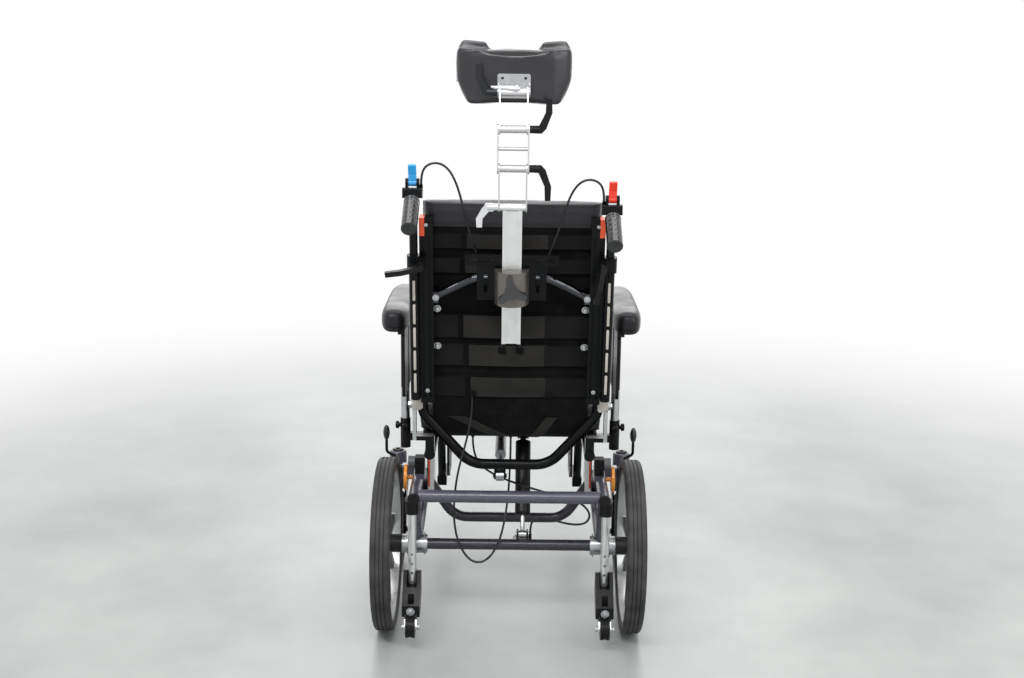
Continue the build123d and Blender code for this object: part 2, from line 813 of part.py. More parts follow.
# ================================================================ armrests
def armrest_frame(side):
    """The sliding post, the bar under the pad and the clothing guard."""
    x = side * arm_x
    pad_bottom = pad_top - arm_pad_thickness
    with BuildPart() as frame:
        rod_z(x, station(arm_y), socket_low + 6, pad_bottom - 4, post_radius)
        block(x - 8, x + 8, station(arm_pad_rear + 30), station(arm_pad_rear + arm_pad_length - 30),
              pad_bottom - 9, pad_bottom)
        side_plate(
            side * 240, side * 247,
            [
                (station(guard_rear), guard_low),
                (station(guard_rear + guard_length), guard_low),
                (station(guard_rear + guard_length + 20), pad_bottom - 6),
                (station(guard_rear - 6), pad_bottom - 6),
            ],
            corner=18,
        )
    return frame


def armrest_pad(side):
    """A crowned pad with rounded ends."""
    x = side * (arm_x + arm_pad_offset)
    pad_bottom = pad_top - arm_pad_thickness
    with BuildPart() as pad:
        block(x - arm_pad_width / 2, x + arm_pad_width / 2, station(arm_pad_rear),
              station(arm_pad_rear + arm_pad_length), pad_bottom, pad_top, radius=26)
        fillet(pad.faces().sort_by(Axis.Z)[-1].edges(), 14)
        fillet(pad.faces().sort_by(Axis.Z)[0].edges(), 8)
    return pad


for name, side in SIDES.items():
    save(armrest_frame(side), f"armrest_frame_{name}")
    save(armrest_pad(side), f"armrest_pad_{name}")


# ================================================================ legrests
def legrest_hanger(side):
    """The swing-away tube with its pin above and the footplate's hinge below."""
    x = side * leg_x
    collar_top = seat_rail_z - tube_radius - side_gap
    with BuildPart() as hanger:
        rod_z(x, station(leg_pin_y), collar_top - 22, collar_top, 15)
        rod_z(x, station(leg_pin_y), collar_top - 10, seat_rail_z + 11, 7)
        bent_tube(
            [
                (x, station(leg_pin_y), collar_top - 11),
                (x, station(leg_pin_y + 40), collar_top - 11),
                (x, station(leg_low_y), leg_low_z),
            ],
            [38],
            leg_tube_radius,
        )
        block(x - 13, x + 13, station(leg_low_y - 16), station(foot_rear - side_gap),
              leg_low_z - 13, leg_low_z + 13)
        rod_y(x, station(foot_rear - 4), station(foot_front), leg_low_z, 6)
    return hanger


def footplate(side):
    """A footplate turned up against its hanger, with ribs under it."""
    x = side * leg_x
    with BuildPart() as plate:
        face_x = x - side * foot_offset
        rod_y(x, station(foot_rear), station(foot_front), leg_low_z, 10)
        block(face_x - side * 3, x, station(foot_rear), station(foot_front), leg_low_z + 4,
              leg_low_z + 10)
        block(face_x - 3, face_x + 3, station(foot_rear), station(foot_front), leg_low_z + 4,
              leg_low_z + 30)
        side_plate(
            face_x - 3, face_x + 3,
            [
                (station(foot_rear - 52), leg_low_z + 22),
                (station(foot_front), leg_low_z + 22),
                (station(foot_front), leg_low_z + foot_reach),
                (station(foot_rear - 52), leg_low_z + foot_reach),
            ],
            corner=12,
        )
        for rib in (50, 85, 120, 155):
            block(face_x - side * 5, face_x, station(foot_rear - 42), station(foot_front - 10),
                  leg_low_z + rib, leg_low_z + rib + 3)
        rod_y(x, station(foot_rear - 2), station(foot_front + 2), leg_low_z, 6 + bearing_gap,
              mode=Mode.SUBTRACT)
    return plate


for name, side in SIDES.items():
    save(legrest_hanger(side), f"legrest_hanger_{name}")
    save(footplate(side), f"footplate_{name}")


# ================================================================ backrest
def back_points(points):
    """Points given across, forward and up in the backrest's frame."""
    return [back.from_local_coords(Vector(*point)) for point in points]


with BuildPart() as back_tube:
    bent_tube(
        back_points([
            (-back_tube_x, 0, back_tube_top),
            (-back_tube_x, 0, -22),
            (-back_tube_half, 0, -back_tube_drop),
            (back_tube_half, 0, -back_tube_drop),
            (back_tube_x, 0, -22),
            (back_tube_x, 0, back_tube_top),
        ]),
        [40, 70, 70, 40],
        back_tube_radius,
    )
    for side in SIDES.values():
        rod_x(side * back_tube_x, side * (hinge_x - side_gap), 0, 0, 14, frame=back)
        rod_x(side * 199, side * 230, 0, 0, pivot_radius + bearing_gap, mode=Mode.SUBTRACT,
              frame=back)
    for ear in (-1, 1):
        strap_link(
            recline_x + ear * (eye_half + side_gap), recline_x + ear * (eye_half + side_gap + 4),
            (0, recline_head_s), (0, -back_tube_drop + 2), 18, frame=back,
        )
    rod_x(recline_x - 16, recline_x + 16, 0, recline_head_s, spring_pin_radius, frame=back)
save(back_tube, "back_tube")


def back_cane(side):
    """A slotted cane with the handle's sleeve, its clamp and an end cap."""
    clamp_top = sleeve_top + 8
    with BuildPart() as cane:
        block(side * cane_inner, side * cane_outer, -cane_depth, 0, cane_bottom, cane_top, frame=back)
        for groove_x in (cane_inner + 8, cane_inner + 22):
            block(side * (groove_x - 2.5), side * (groove_x + 2.5), -cane_depth - 1,
                  -cane_depth + 5, 30, cane_top - 40, mode=Mode.SUBTRACT, frame=back)
        block(side * (cane_outer - 2), side * (sleeve_x - 4), sleeve_v + 6, sleeve_v + 16,
              sleeve_bottom, sleeve_top, frame=back)
        rod_z(side * sleeve_x, sleeve_v, sleeve_bottom, sleeve_top, sleeve_radius, frame=back)
        rod_z(side * sleeve_x, sleeve_v, sleeve_top - 26, clamp_top, sleeve_radius + 4, frame=back)
        block(side * 188, side * sleeve_x, clamp_v, -cane_depth + 2, sleeve_top - 22,
              sleeve_top + 4, frame=back)
        rod_z(side * sleeve_x, sleeve_v, sleeve_bottom - 1, clamp_top + 1,
              stem_rod_radius + bearing_gap, mode=Mode.SUBTRACT, frame=back)
    return cane


for name, side in SIDES.items():
    save(back_cane(side), f"back_cane_{name}")

with BuildPart() as back_straps:
    for low, high in strap_rows:
        block(-cane_outer + 2, cane_outer - 2, 0, strap_thickness, low, high, frame=back)
    # the tabs that tie the release cables down
    for tab in (-1, 1):
        block(tab * 20 - 8, tab * 20 + 8, -8, 0, 128, 142, frame=back)
        block(tab * 86 - 8, tab * 86 + 8, -8, 0, 22, 36, frame=back)
save(back_straps, "back_straps")

with BuildPart() as back_cushion:
    front_v = strap_thickness + 0.3
    with BuildSketch(within(back, Plane.XY.offset(back_cushion_bottom))) as section:
        with BuildLine():
            Polyline(
                (-back_cushion_half + 4, front_v + back_cushion_depth - 16),
                (-back_cushion_half, front_v + back_cushion_depth / 2),
                (-back_cushion_half + 10, front_v),
                (back_cushion_half - 10, front_v),
                (back_cushion_half, front_v + back_cushion_depth / 2),
                (back_cushion_half - 4, front_v + back_cushion_depth - 16),
            )
            ThreePointArc(
                (-back_cushion_half + 4, front_v + back_cushion_depth - 16),
                (0, front_v + back_cushion_depth),
                (back_cushion_half - 4, front_v + back_cushion_depth - 16),
            )
        make_face()
    extrude(section.sketch, amount=back_cushion_top - back_cushion_bottom)
    top = back_cushion.faces().sort_by(Axis.Z)[-1]
    fillet(top.edges().sort_by(Axis.Y)[-1], 24)
    # the lower corners leave room for the tube and its hinges
    for side in SIDES.values():
        block(side * (back_tube_x - back_tube_radius - 3), side * (back_cushion_half + 5), 0,
              back_cushion_depth + 10, back_cushion_bottom - 5, back_tube_top + 2,
              mode=Mode.SUBTRACT, frame=back)
save(back_cushion, "back_cushion")

with BuildPart() as headrest_crossbar:
    bar_v_end = -cane_depth - crossbar_radius - side_gap
    bar_end = cane_inner - 4
    bent_tube(
        back_points([
            (-bar_end, bar_v_end, crossbar_low),
            (-112, bar_v_end - 1, crossbar_high - 18),
            (-78, bar_v_end - 6, crossbar_high),
            (78, bar_v_end - 6, crossbar_high),
            (112, bar_v_end - 1, crossbar_high - 18),
            (bar_end, bar_v_end, crossbar_low),
        ]),
        [30, 60, 60, 30],
        crossbar_radius,
    )
    # the lugs that bolt it to the inner faces of the canes
    for side in SIDES.values():
        block(side * (cane_inner - 12), side * cane_inner, bar_v_end - 9, -6,
              crossbar_low - 12, crossbar_low + 12, frame=back)
save(headrest_crossbar, "headrest_crossbar")

plate_v = bar_v_end - 6 - crossbar_radius - side_gap
channel_v = bar_v - bar_thickness / 2 - 0.2
with BuildPart() as headrest_clamp:
    block(-clamp_plate_half, clamp_plate_half, plate_v - 4, plate_v, clamp_plate_low,
          clamp_bar_low + 5, radius=1.5, frame=back)
    block(-clamp_bar_half, clamp_bar_half, plate_v - 7, plate_v - 3, clamp_bar_low,
          clamp_bar_low + clamp_bar_height, radius=1.5, frame=back)
    with BuildSketch(within(back, Plane.XZ.offset(-plate_v + 20))) as slots:
        slot_s = clamp_bar_low + clamp_bar_height / 2
        with Locations((-clamp_slot_x, slot_s), (clamp_slot_x, slot_s)):
            SlotOverall(70, 7)
        with Locations((-clamp_slot_x, knob_s + 5), (clamp_slot_x, knob_s + 5)):
            SlotOverall(46, 8, rotation=90)
    extrude(slots.sketch, amount=-40, mode=Mode.SUBTRACT)
    # the half round housing around the bar
    with BuildSketch(within(back, Plane.XY.offset(clamp_low))) as housing:
        with BuildLine():
            Line((-clamp_half, plate_v - 3), (clamp_half, plate_v - 3))
            ThreePointArc(
                (clamp_half, plate_v - 3), (0, plate_v - 46), (-clamp_half, plate_v - 3),
            )
        make_face()
    extrude(housing.sketch, amount=clamp_high - clamp_low)
    block(-bar_half - 0.2, bar_half + 0.2, channel_v, bar_v + bar_thickness / 2 + 0.2,
          clamp_low - 5, clamp_high + 30, mode=Mode.SUBTRACT, frame=back)
    rod_y(0, plate_v - 60, channel_v, knob_s, 5 + bearing_gap, mode=Mode.SUBTRACT, frame=back)
save(headrest_clamp, "headrest_clamp")

knob_v = plate_v - 47
with BuildPart() as star_knob:
    with BuildSketch(within(back, Plane.XZ.offset(-knob_v))) as star:
        with Locations((0, knob_s)):
            Circle(15)
            with PolarLocations(knob_radius - 14, 3, start_angle=100):
                SlotOverall(28, 15)
    extrude(star.sketch, amount=13)
    rod_y(0, knob_v - 1, channel_v - 0.1, knob_s, 5, frame=back)
save(star_knob, "star_knob")

# ================================================================ headrest
with BuildPart() as headrest_bar:
    block(-bar_half, bar_half, bar_v - bar_thickness / 2, bar_v + bar_thickness / 2,
          bar_low, bar_high - 4, frame=back)
    block(-bar_half + 8, bar_half - 8, bar_v - bar_thickness / 2 - 1, bar_v - bar_thickness / 2 + 3,
          bar_low - 5, bar_high + 5, mode=Mode.SUBTRACT, frame=back)
    rod_x(-link_inner + 0.2, link_inner - 0.2, bar_v, bar_high, joint_radius, frame=back)
    rod_x(-40, 40, bar_v, bar_high, pin_radius + bearing_gap, mode=Mode.SUBTRACT, frame=back)
save(headrest_bar, "headrest_bar")

joints = [back.from_local_coords(Vector(0, bar_v, bar_high))]
for length, angle in zip(link_lengths, link_leans):
    step = Vector(0, -sin(radians(angle)), cos(radians(angle))) * length
    joints.append(joints[-1] + step)
spots = [(joint.Y, joint.Z) for joint in joints]


def link_pair(half, start, end):
    for sign in (-1, 1):
        strap_link(sign * half, sign * (half + link_plate), start, end, link_width)


with BuildPart() as headrest_link_lower:
    link_pair(link_inner, spots[0], spots[1])
    rod_x(-link_inner, link_inner, *spots[1], joint_radius)
    rod_x(-link_inner, link_inner, *spots[0], pin_radius)
    rod_x(-60, 60, *spots[1], pin_radius + bearing_gap, mode=Mode.SUBTRACT)
save(headrest_link_lower, "headrest_link_lower")

with BuildPart() as headrest_link_middle:
    link_pair(link_outer, spots[1], spots[2])
    middle = ((spots[1][0] + spots[2][0]) / 2, (spots[1][1] + spots[2][1]) / 2)
    rod_x(-link_outer, link_outer, *middle, 4)
    for spot in spots[1:3]:
        rod_x(-link_outer, link_outer, *spot, pin_radius)
save(headrest_link_middle, "headrest_link_middle")

with BuildPart() as headrest_link_upper:
    link_pair(link_inner, spots[2], spots[3])
    for spot in spots[2:4]:
        rod_x(-link_inner, link_inner, *spot, joint_radius)
        rod_x(-60, 60, *spot, pin_radius + bearing_gap, mode=Mode.SUBTRACT)
save(headrest_link_upper, "headrest_link_upper")

plate_y = spots[3][0] + 26
plate_z = spots[3][1] + 12
with BuildPart() as headrest_plate:
    with BuildSketch(Plane.XZ.offset(-plate_y)) as face:
        with Locations((0, plate_z)):
            RectangleRounded(2 * link_outer + 8, 50, 5)
        with Locations((-24, plate_z + 16), (24, plate_z + 16), (-24, plate_z - 16), (24, plate_z - 16)):
            Circle(3, mode=Mode.SUBTRACT)
    extrude(face.sketch, amount=4)
    for sign in (-1, 1):
        strap_link(sign * link_outer, sign * (link_outer + link_plate),
                   spots[3], (plate_y - 12, spots[3][1] + 6), link_width)
    rod_x(-link_outer, link_outer, *spots[3], pin_radius)
save(headrest_plate, "headrest_plate")

with BuildPart() as headrest_pad:
    # a band seen from above: flat behind, hollow in front, with forward wings
    rear = plate_y + 0.3
    pad_low = plate_z - pad_drop
    pad_top_z = pad_low + pad_height
    with BuildSketch(Plane.XY.offset(pad_low)) as band:
        with BuildLine():
            ThreePointArc((-pad_half, rear + 22), (-pad_half + 34, rear + 4), (-60, rear))
            Line((-60, rear), (60, rear))
            ThreePointArc((60, rear), (pad_half - 34, rear + 4), (pad_half, rear + 22))
            Line((pad_half, rear + 22), (pad_half, rear + pad_depth + pad_wing))
            Line((pad_half, rear + pad_depth + pad_wing),
                 (pad_half - 36, rear + pad_depth + pad_wing))
            ThreePointArc(
                (pad_half - 36, rear + pad_depth + pad_wing),
                (0, rear + pad_depth - 12),
                (-pad_half + 36, rear + pad_depth + pad_wing),
            )
            Line((-pad_half + 36, rear + pad_depth + pad_wing),
                 (-pad_half, rear + pad_depth + pad_wing))
            Line((-pad_half, rear + pad_depth + pad_wing), (-pad_half, rear + 22))
        make_face()
        fillet(band.vertices().sort_by(Axis.Y)[-4:], 13)
    extrude(band.sketch, amount=pad_height)
    # the outline from behind: narrower below
    for side in SIDES.values():
        with BuildSketch(Plane.XZ.offset(-rear - pad_depth - pad_wing - 5)) as corner:
            with BuildLine():
                Polyline(
                    (side * pad_waist, pad_low - 5),
                    (side * (pad_waist + 2), pad_low + 2),
                    (side * (pad_half + 1), pad_low + 54),
                    (side * (pad_half + 15), pad_low + 54),
                    (side * (pad_half + 15), pad_low - 5),
                    close=True,
                )
            make_face()
        extrude(corner.sketch, amount=pad_depth + pad_wing + 10, mode=Mode.SUBTRACT)
    # the wings' tops stand above the middle
    with BuildSketch(Plane.XY.offset(pad_top_z - 4)) as tops:
        with Locations(*[
            (side * (pad_wing_inner + pad_half - 4) / 2, rear + pad_depth - 6)
            for side in SIDES.values()
        ]):
            RectangleRounded(pad_half - 4 - pad_wing_inner, 56, 13)
    extrude(tops.sketch, amount=pad_rise + 4, taper=18)
save(headrest_pad, "headrest_pad")


def clamp_lever(frame, reach):
    """A clamping lever: a hub along the frame's X axis and a tapered arm that leans out along Z."""
    with BuildPart() as lever:
        rod_x(0, 22, 0, 0, 8, frame=frame)
        with BuildSketch(within(frame, Plane.XZ.offset(-lever_width / 2))) as arm:
            with BuildLine():
                Polyline((9, -8), (25, -8), (34, 2), (46, 0.55 * reach), (45, reach),
                         (33, reach), (33, reach - 7), (32, 0.55 * reach), (19, 8), (9, 8),
                         close=True)
            make_face()
            fillet(arm.vertices(), 1.6)
        extrude(arm.sketch, amount=lever_width)
        rod_x(22, 25.5, 0, 0, 4.5, frame=frame)
    return lever


# each lever: the side and place of its hub, the way its arm points and its reach
joint_levers = (
    ("headrest_lever_1", -1, link_inner, spots[0], -1, 42),
    ("headrest_lever_2", 1, link_outer, spots[1], -1, 66),
    ("headrest_lever_3", 1, link_outer, spots[2], 1, 62),
    ("headrest_lever_4", -1, link_outer, spots[3], 1, 56),
)
for label, side, half, spot, way, reach in joint_levers:
    hub = Plane(
        origin=(side * (half + link_plate + side_gap), *spot),
        x_dir=(side, 0, 0),
        z_dir=(0, 0, way),
    )
    save(clamp_lever(hub, reach), label)


# ================================================================ push handles
def push_handle(side, name):
    """A stem in the cane's sleeve, the lever housing and a grip that droops backwards."""
    x = side * sleeve_x
    bend_s = stem_high - handle_drop[name]
    way = Vector(0, -cos(droop), -sin(droop))
    bend = Vector(x, sleeve_v, bend_s)
    with BuildPart() as handle:
        bent_tube(
            back_points([
                (x, sleeve_v, stem_low - handle_drop[name]),
                (x, sleeve_v, bend_s),
                tuple(bend + way * (grip_end - 4)),
            ]),
            [26],
            stem_rod_radius,
        )
        straight_tube(
            back.from_local_coords(bend + way * grip_start),
            back.from_local_coords(bend + way * (grip_end - 5)),
            grip_radius - 1,
        )
        for end in (grip_start, grip_end - 6):
            straight_tube(
                back.from_local_coords(bend + way * end),
                back.from_local_coords(bend + way * (end + 6)),
                grip_radius,
            )
        # the housing of the trigger, with an ear on each side
        side_plate(
            x - 21, x + 21,
            [
                (sleeve_v - 22, bend_s - 8),
                (housing_front_v, bend_s - 16),
                (housing_front_v, bend_s + 10),
                (sleeve_v - 16, bend_s + 12),
            ],
            corner=4, frame=back,
        )
        for ear in (-1, 1):
            inner = trigger_width / 2 + side_gap
            strap_link(x + ear * inner, x + ear * (inner + 6), (trigger_pin_v, bend_s + 4),
                       (trigger_pin_v, bend_s + 20), 20, frame=back)
        rod_x(x - 12, x + 12, trigger_pin_v, bend_s + 20, 3, frame=back)
        # the gland of the release cable
        rod_z(side * (sleeve_x - gland_inset), gland_v, bend_s, bend_s + gland_rise, 3.5,
              frame=back)
    return handle


def release_trigger(side, name):
    """A finger trigger above the grip, on a cross pin."""
    x = side * sleeve_x
    pin_v = trigger_pin_v
    pin_s = stem_high - handle_drop[name] + 20
    with BuildPart() as trigger:
        rod_x(x - trigger_width / 2, x + trigger_width / 2, pin_v, pin_s, 7, frame=back)
        side_plate(
            x - trigger_width / 2, x + trigger_width / 2,
            [
                (pin_v - 5, pin_s),
                (pin_v - 6, pin_s + 20),
                (pin_v - 12, pin_s + trigger_height - 2),
                (pin_v - 8, pin_s + trigger_height),
                (pin_v + 2, pin_s + 22),
                (pin_v + 6, pin_s),
            ],
            frame=back,
        )
        rod_x(x - 20, x + 20, pin_v, pin_s, 3 + bearing_gap, mode=Mode.SUBTRACT, frame=back)
    return trigger


for name, side in SIDES.items():
    save(push_handle(side, name), f"push_handle_{name}")
save(release_trigger(SIDES["left"], "left"), "tilt_trigger")
save(release_trigger(SIDES["right"], "right"), "recline_trigger")

# the levers that clamp the handles at their height: the way each arm points, across and up
handle_lever_ways = {"left": (-0.99, -0.14), "right": (-0.2, -0.98)}
for name, side in SIDES.items():
    across_way, up_way = handle_lever_ways[name]
    hub_seat = within(back, Plane(
        origin=(side * 195, clamp_v - side_gap, sleeve_top - 9),
        x_dir=(0, -1, 0),
        z_dir=(across_way, 0, up_way),
    ))
    save(clamp_lever(hub_seat, 74), f"handle_lever_{name}")


# ================================================================ gas springs
def along(start, end):
    """A frame at one end of a spring with its Z axis towards the other."""
    return Plane(origin=start, x_dir=(1, 0, 0), z_dir=Vector(*end) - Vector(*start))


tilt_foot = (tilt_x, station(tilt_foot_y), tilt_foot_z)
tilt_head = (tilt_x, station(tilt_head_y), tilt_head_z)
tilt_line = along(tilt_foot, tilt_head)
tilt_length = hypot(tilt_head_y - tilt_foot_y, tilt_head_z - tilt_foot_z)
tilt_cylinder_start = 45
tilt_cylinder_end = tilt_length - 20
with BuildPart() as tilt_spring_rod:
    rod_x(-eye_half, eye_half, 0, 0, 9, frame=tilt_line)
    rod_z(0, 0, 0, tilt_cylinder_start + 100, spring_rod_radius, frame=tilt_line)
    rod_x(-eye_half - 1, eye_half + 1, 0, 0, spring_pin_radius + bearing_gap,
          mode=Mode.SUBTRACT, frame=tilt_line)
save(tilt_spring_rod, "tilt_spring_rod")

with BuildPart() as tilt_spring_cylinder:
    rod_z(0, 0, tilt_cylinder_start, tilt_cylinder_end, tilt_cylinder_radius, frame=tilt_line)
    fillet(tilt_spring_cylinder.edges().sort_by(Axis.Z)[0], 6)
    rod_z(0, 0, tilt_cylinder_end - 1, tilt_length - 8, 7, frame=tilt_line)
    rod_x(-eye_half, eye_half, 0, tilt_length, 11, frame=tilt_line)
    rod_z(0, 0, tilt_cylinder_start - 1, tilt_cylinder_end - 20,
          spring_rod_radius + bearing_gap, mode=Mode.SUBTRACT, frame=tilt_line)
    rod_x(-eye_half - 1, eye_half + 1, 0, tilt_length, spring_pin_radius + tilt_eye_play,
          mode=Mode.SUBTRACT, frame=tilt_line)
save(tilt_spring_cylinder, "tilt_spring_cylinder")

recline_foot = (recline_x, station(recline_foot_y), recline_foot_z)
recline_head = tuple(back.from_local_coords(Vector(recline_x, 0, recline_head_s)))
recline_line = along(recline_foot, recline_head)
recline_length = (Vector(*recline_head) - Vector(*recline_foot)).length
recline_cylinder_end = 190
with BuildPart() as recline_spring_cylinder:
    rod_x(-eye_half, eye_half, 0, 0, 9, frame=recline_line)
    rod_z(0, 0, 6, 22, 7, frame=recline_line)
    rod_z(0, 0, 18, recline_cylinder_end, recline_cylinder_radius, frame=recline_line)
    rod_z(0, 0, 36, recline_cylinder_end + 1, spring_rod_radius + bearing_gap,
          mode=Mode.SUBTRACT, frame=recline_line)
    rod_x(-eye_half - 1, eye_half + 1, 0, 0, spring_pin_radius + bearing_gap,
          mode=Mode.SUBTRACT, frame=recline_line)
save(recline_spring_cylinder, "recline_spring_cylinder")

with BuildPart() as recline_spring_rod:
    rod_z(0, 0, recline_cylinder_end - 60, recline_length - 10, spring_rod_radius,
          frame=recline_line)
    # the release head behind the eye
    block(-11, 11, -13, 13, recline_length - 44, recline_length - 14, radius=3,
          frame=recline_line)
    rod_x(-eye_half, eye_half, 0, recline_length, recline_eye, frame=recline_line)
    rod_x(-eye_half - 1, eye_half + 1, 0, recline_length, spring_pin_radius + recline_eye_play,
          mode=Mode.SUBTRACT, frame=recline_line)
save(recline_spring_rod, "recline_spring_rod")


# ================================================================ release cables
def cable_radii(points):
    """The largest arc that the two runs at each corner allow."""
    radii = []
    for before, corner, after in zip(points, points[1:], points[2:]):
        arriving = corner - before
        leaving = after - corner
        half_turn = radians(arriving.get_angle(leaving)) / 2
        radii.append(0.45 * min(arriving.length, leaving.length) / tan(half_turn))
    return radii


def cable(points, label):
    """A cable along straight runs joined by tangent arcs."""
    points = [Vector(*point) for point in points]
    radii = cable_radii(points)
    with BuildLine() as route:
        FilletPolyline(*points, radius=radii)
    length = sum(edge.length for edge in route.line.edges())
    start = Plane(origin=route.line @ 0, z_dir=route.line % 0)
    with BuildPart() as cord:
        with BuildSketch(start) as disc:
            Circle(cable_radius)
        sweep(disc.sketch, path=route.line)
    swept = pi * cable_radius ** 2 * length
    print(label, "radii", [round(radius) for radius in radii],
          "length", round(length), "volume share", round(cord.part.volume / swept, 4))
    return cord


gland_x = sleeve_x - gland_inset
left_gland_s = stem_high - handle_drop["left"] + gland_rise
right_gland_s = stem_high - handle_drop["right"] + gland_rise
left_cable = back_points([
    (-gland_x, gland_v, left_gland_s),
    (-gland_x, gland_v, left_gland_s + 22),
    (-182, gland_v, left_gland_s + 42),
    (-158, gland_v, left_gland_s + 48),
    (-136, gland_v + 2, left_gland_s + 35),
    (-120, gland_v + 4, left_gland_s + 5),
    (-108, -30, 484),
    (-98, -28, 438),
    (-84, -22, 385),
    (-62, -16, 325),
    (-34, -12, 268),
    (-4, -10, 222),
    (20, -4, 184),
    (20, -4, 142),
])
save(cable(left_cable, "tilt_cable_upper"), "tilt_cable_upper")

right_cable = back_points([
    (gland_x, gland_v, right_gland_s),
    (gland_x, gland_v, right_gland_s + 22),
    (182, gland_v, right_gland_s + 42),
    (158, gland_v, right_gland_s + 48),
    (136, gland_v + 2, right_gland_s + 35),
    (120, gland_v + 4, right_gland_s + 5),
    (108, -30, 452),
    (94, -28, 404),
    (74, -26, 352),
    (46, -24, 296),
    (16, -22, 248),
    (-8, -16, 216),
    (-20, -4, 184),
    (-20, -4, 142),
])
save(cable(right_cable, "recline_cable_upper"), "recline_cable_upper")

# the long loop from the lower tab down behind the axle and up to the seat's cross tube
loop_start = back.from_local_coords(Vector(-86, -4, 22))
hanging_loop = [
    tuple(loop_start),
    tuple(back.from_local_coords(Vector(-86, -4, -22))),
    (-100, station(-16), 450),
    (-117, station(-26), 390),
    (-126, station(-34), 325),
    (-126, station(-38), 262),
    (-112, station(-40), 206),
    (-82, station(-40), 168),
    (-46, station(-40), 176),
    (-20, station(-34), 222),
    (-8, station(-10), 272),
    (-2, station(34), 312),
    (0, station(88), 336),
    (1, station(142), 344),
    (seat_glands[1], station(185), 364),
    (seat_glands[1], station(185), seat_gland_z),
]
save(cable(hanging_loop, "recline_cable_lower"), "recline_cable_lower")

# the cable that hangs from the seat, turns at the right rail and ends at the tilt spring's foot
tilt_run = [
    (seat_glands[0], station(185), seat_gland_z),
    (seat_glands[0], station(185), 376),
    (-76, station(140), 352),
    (-44, station(90), 344),
    (0, station(44), 340),
    (54, station(4), 336),
    (102, station(-24), 332),
    (142, station(-36), 326),
    (172, station(-38), 312),
    (187, station(-32), 288),
    (181, station(-20), 264),
    (160, station(-6), 252),
    (130, station(4), 252),
    (98, station(9), 260),
    (68, station(7), 267),
    (rod_gland_x, station(3), 254),
    (rod_gland_x, station(3), rod_gland_top),
]
save(cable(tilt_run, "tilt_cable_lower"), "tilt_cable_lower")
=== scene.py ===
from math import cos, exp, pi, radians, sin

import bmesh
import bpy
from mathutils import Matrix, Vector
from mathutils.bvhtree import BVHTree
from mathutils.kdtree import KDTree


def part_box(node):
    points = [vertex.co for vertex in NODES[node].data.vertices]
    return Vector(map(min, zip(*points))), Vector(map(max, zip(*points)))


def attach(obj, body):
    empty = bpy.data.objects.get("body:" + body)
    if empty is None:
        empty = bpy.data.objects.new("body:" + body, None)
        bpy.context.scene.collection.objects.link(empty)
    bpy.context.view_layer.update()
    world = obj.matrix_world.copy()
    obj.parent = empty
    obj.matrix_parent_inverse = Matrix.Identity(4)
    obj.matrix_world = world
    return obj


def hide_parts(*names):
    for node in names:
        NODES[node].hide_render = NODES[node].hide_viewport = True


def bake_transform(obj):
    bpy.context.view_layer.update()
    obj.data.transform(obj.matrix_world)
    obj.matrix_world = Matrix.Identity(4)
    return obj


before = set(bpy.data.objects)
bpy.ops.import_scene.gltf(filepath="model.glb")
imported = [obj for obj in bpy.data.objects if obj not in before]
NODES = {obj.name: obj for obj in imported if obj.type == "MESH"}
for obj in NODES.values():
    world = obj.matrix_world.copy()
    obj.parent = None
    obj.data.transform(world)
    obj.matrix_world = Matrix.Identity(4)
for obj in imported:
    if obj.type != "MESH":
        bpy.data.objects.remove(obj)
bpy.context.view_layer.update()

bl_info = {
    "name": "Tilt in space wheelchair dressing",
    "version": (1, 0, 0),
    "blender": (4, 5, 0),
    "location": "View3D > Sidebar > Wheelchair",
    "description": "Upholstery, cables, trim, finishes and studio for the packed wheelchair",
    "category": "Object",
}

MM = 0.001
SIDES = {"left": -1, "right": 1}
UP = Vector((0, 0, 1))
CLOTH_STEPS = 20
RIM_INSIDE = 0.1615
TYRE_INSIDE = 0.1765
CASTER_TYRE_INSIDE = 0.077
SPRING_COVER_INSIDE = 0.2012


# ---------------------------------------------------------------- places
def middle(node):
    """The middle of a CAD node's box, in metres."""
    low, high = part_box(node)
    return (Vector(low) + Vector(high)) / 2


AXLE_Y = middle("rear_wheel_left").y
LEAN = radians(8)
BACK_ORIGIN = Vector((0, AXLE_Y - 0.010, 0.540))
BACK_FORWARD = Vector((0, cos(LEAN), sin(LEAN)))
BACK_UP = Vector((0, -sin(LEAN), cos(LEAN)))


def chair(x, y, z):
    """A place in millimetres, fore and aft from the rear axle, as metres in the shared frame."""
    return Vector((x * MM, AXLE_Y + y * MM, z * MM))


def back(x, v, s):
    """A place in the backrest's frame (across, forward, up) in millimetres."""
    return BACK_ORIGIN + Vector((x * MM, 0, 0)) + BACK_FORWARD * v * MM + BACK_UP * s * MM


# ---------------------------------------------------------------- properties
class WheelchairUpholstery(bpy.types.PropertyGroup):
    """Sizes of the stuffed pieces and their stitching"""

    voxel: bpy.props.FloatProperty(
        name="Voxel", description="Remesh size of a stuffed form", default=0.006,
        min=0.003, unit="LENGTH")
    puff: bpy.props.FloatProperty(
        name="Puff", description="Furthest that stuffing moves the cover", default=0.009,
        min=0.0, unit="LENGTH")
    pressure: bpy.props.FloatProperty(
        name="Pressure", description="Pressure inside the cover", default=4.0, min=0.0)
    stitch_pitch: bpy.props.FloatProperty(
        name="Stitch pitch", description="Distance from stitch to stitch", default=0.0055,
        min=0.002, unit="LENGTH")
    stitch_length: bpy.props.FloatProperty(
        name="Stitch length", description="Length of thread that shows", default=0.0038,
        min=0.001, unit="LENGTH")
    thread: bpy.props.FloatProperty(
        name="Thread", description="Radius of the sewing thread", default=0.00055,
        min=0.0002, unit="LENGTH")


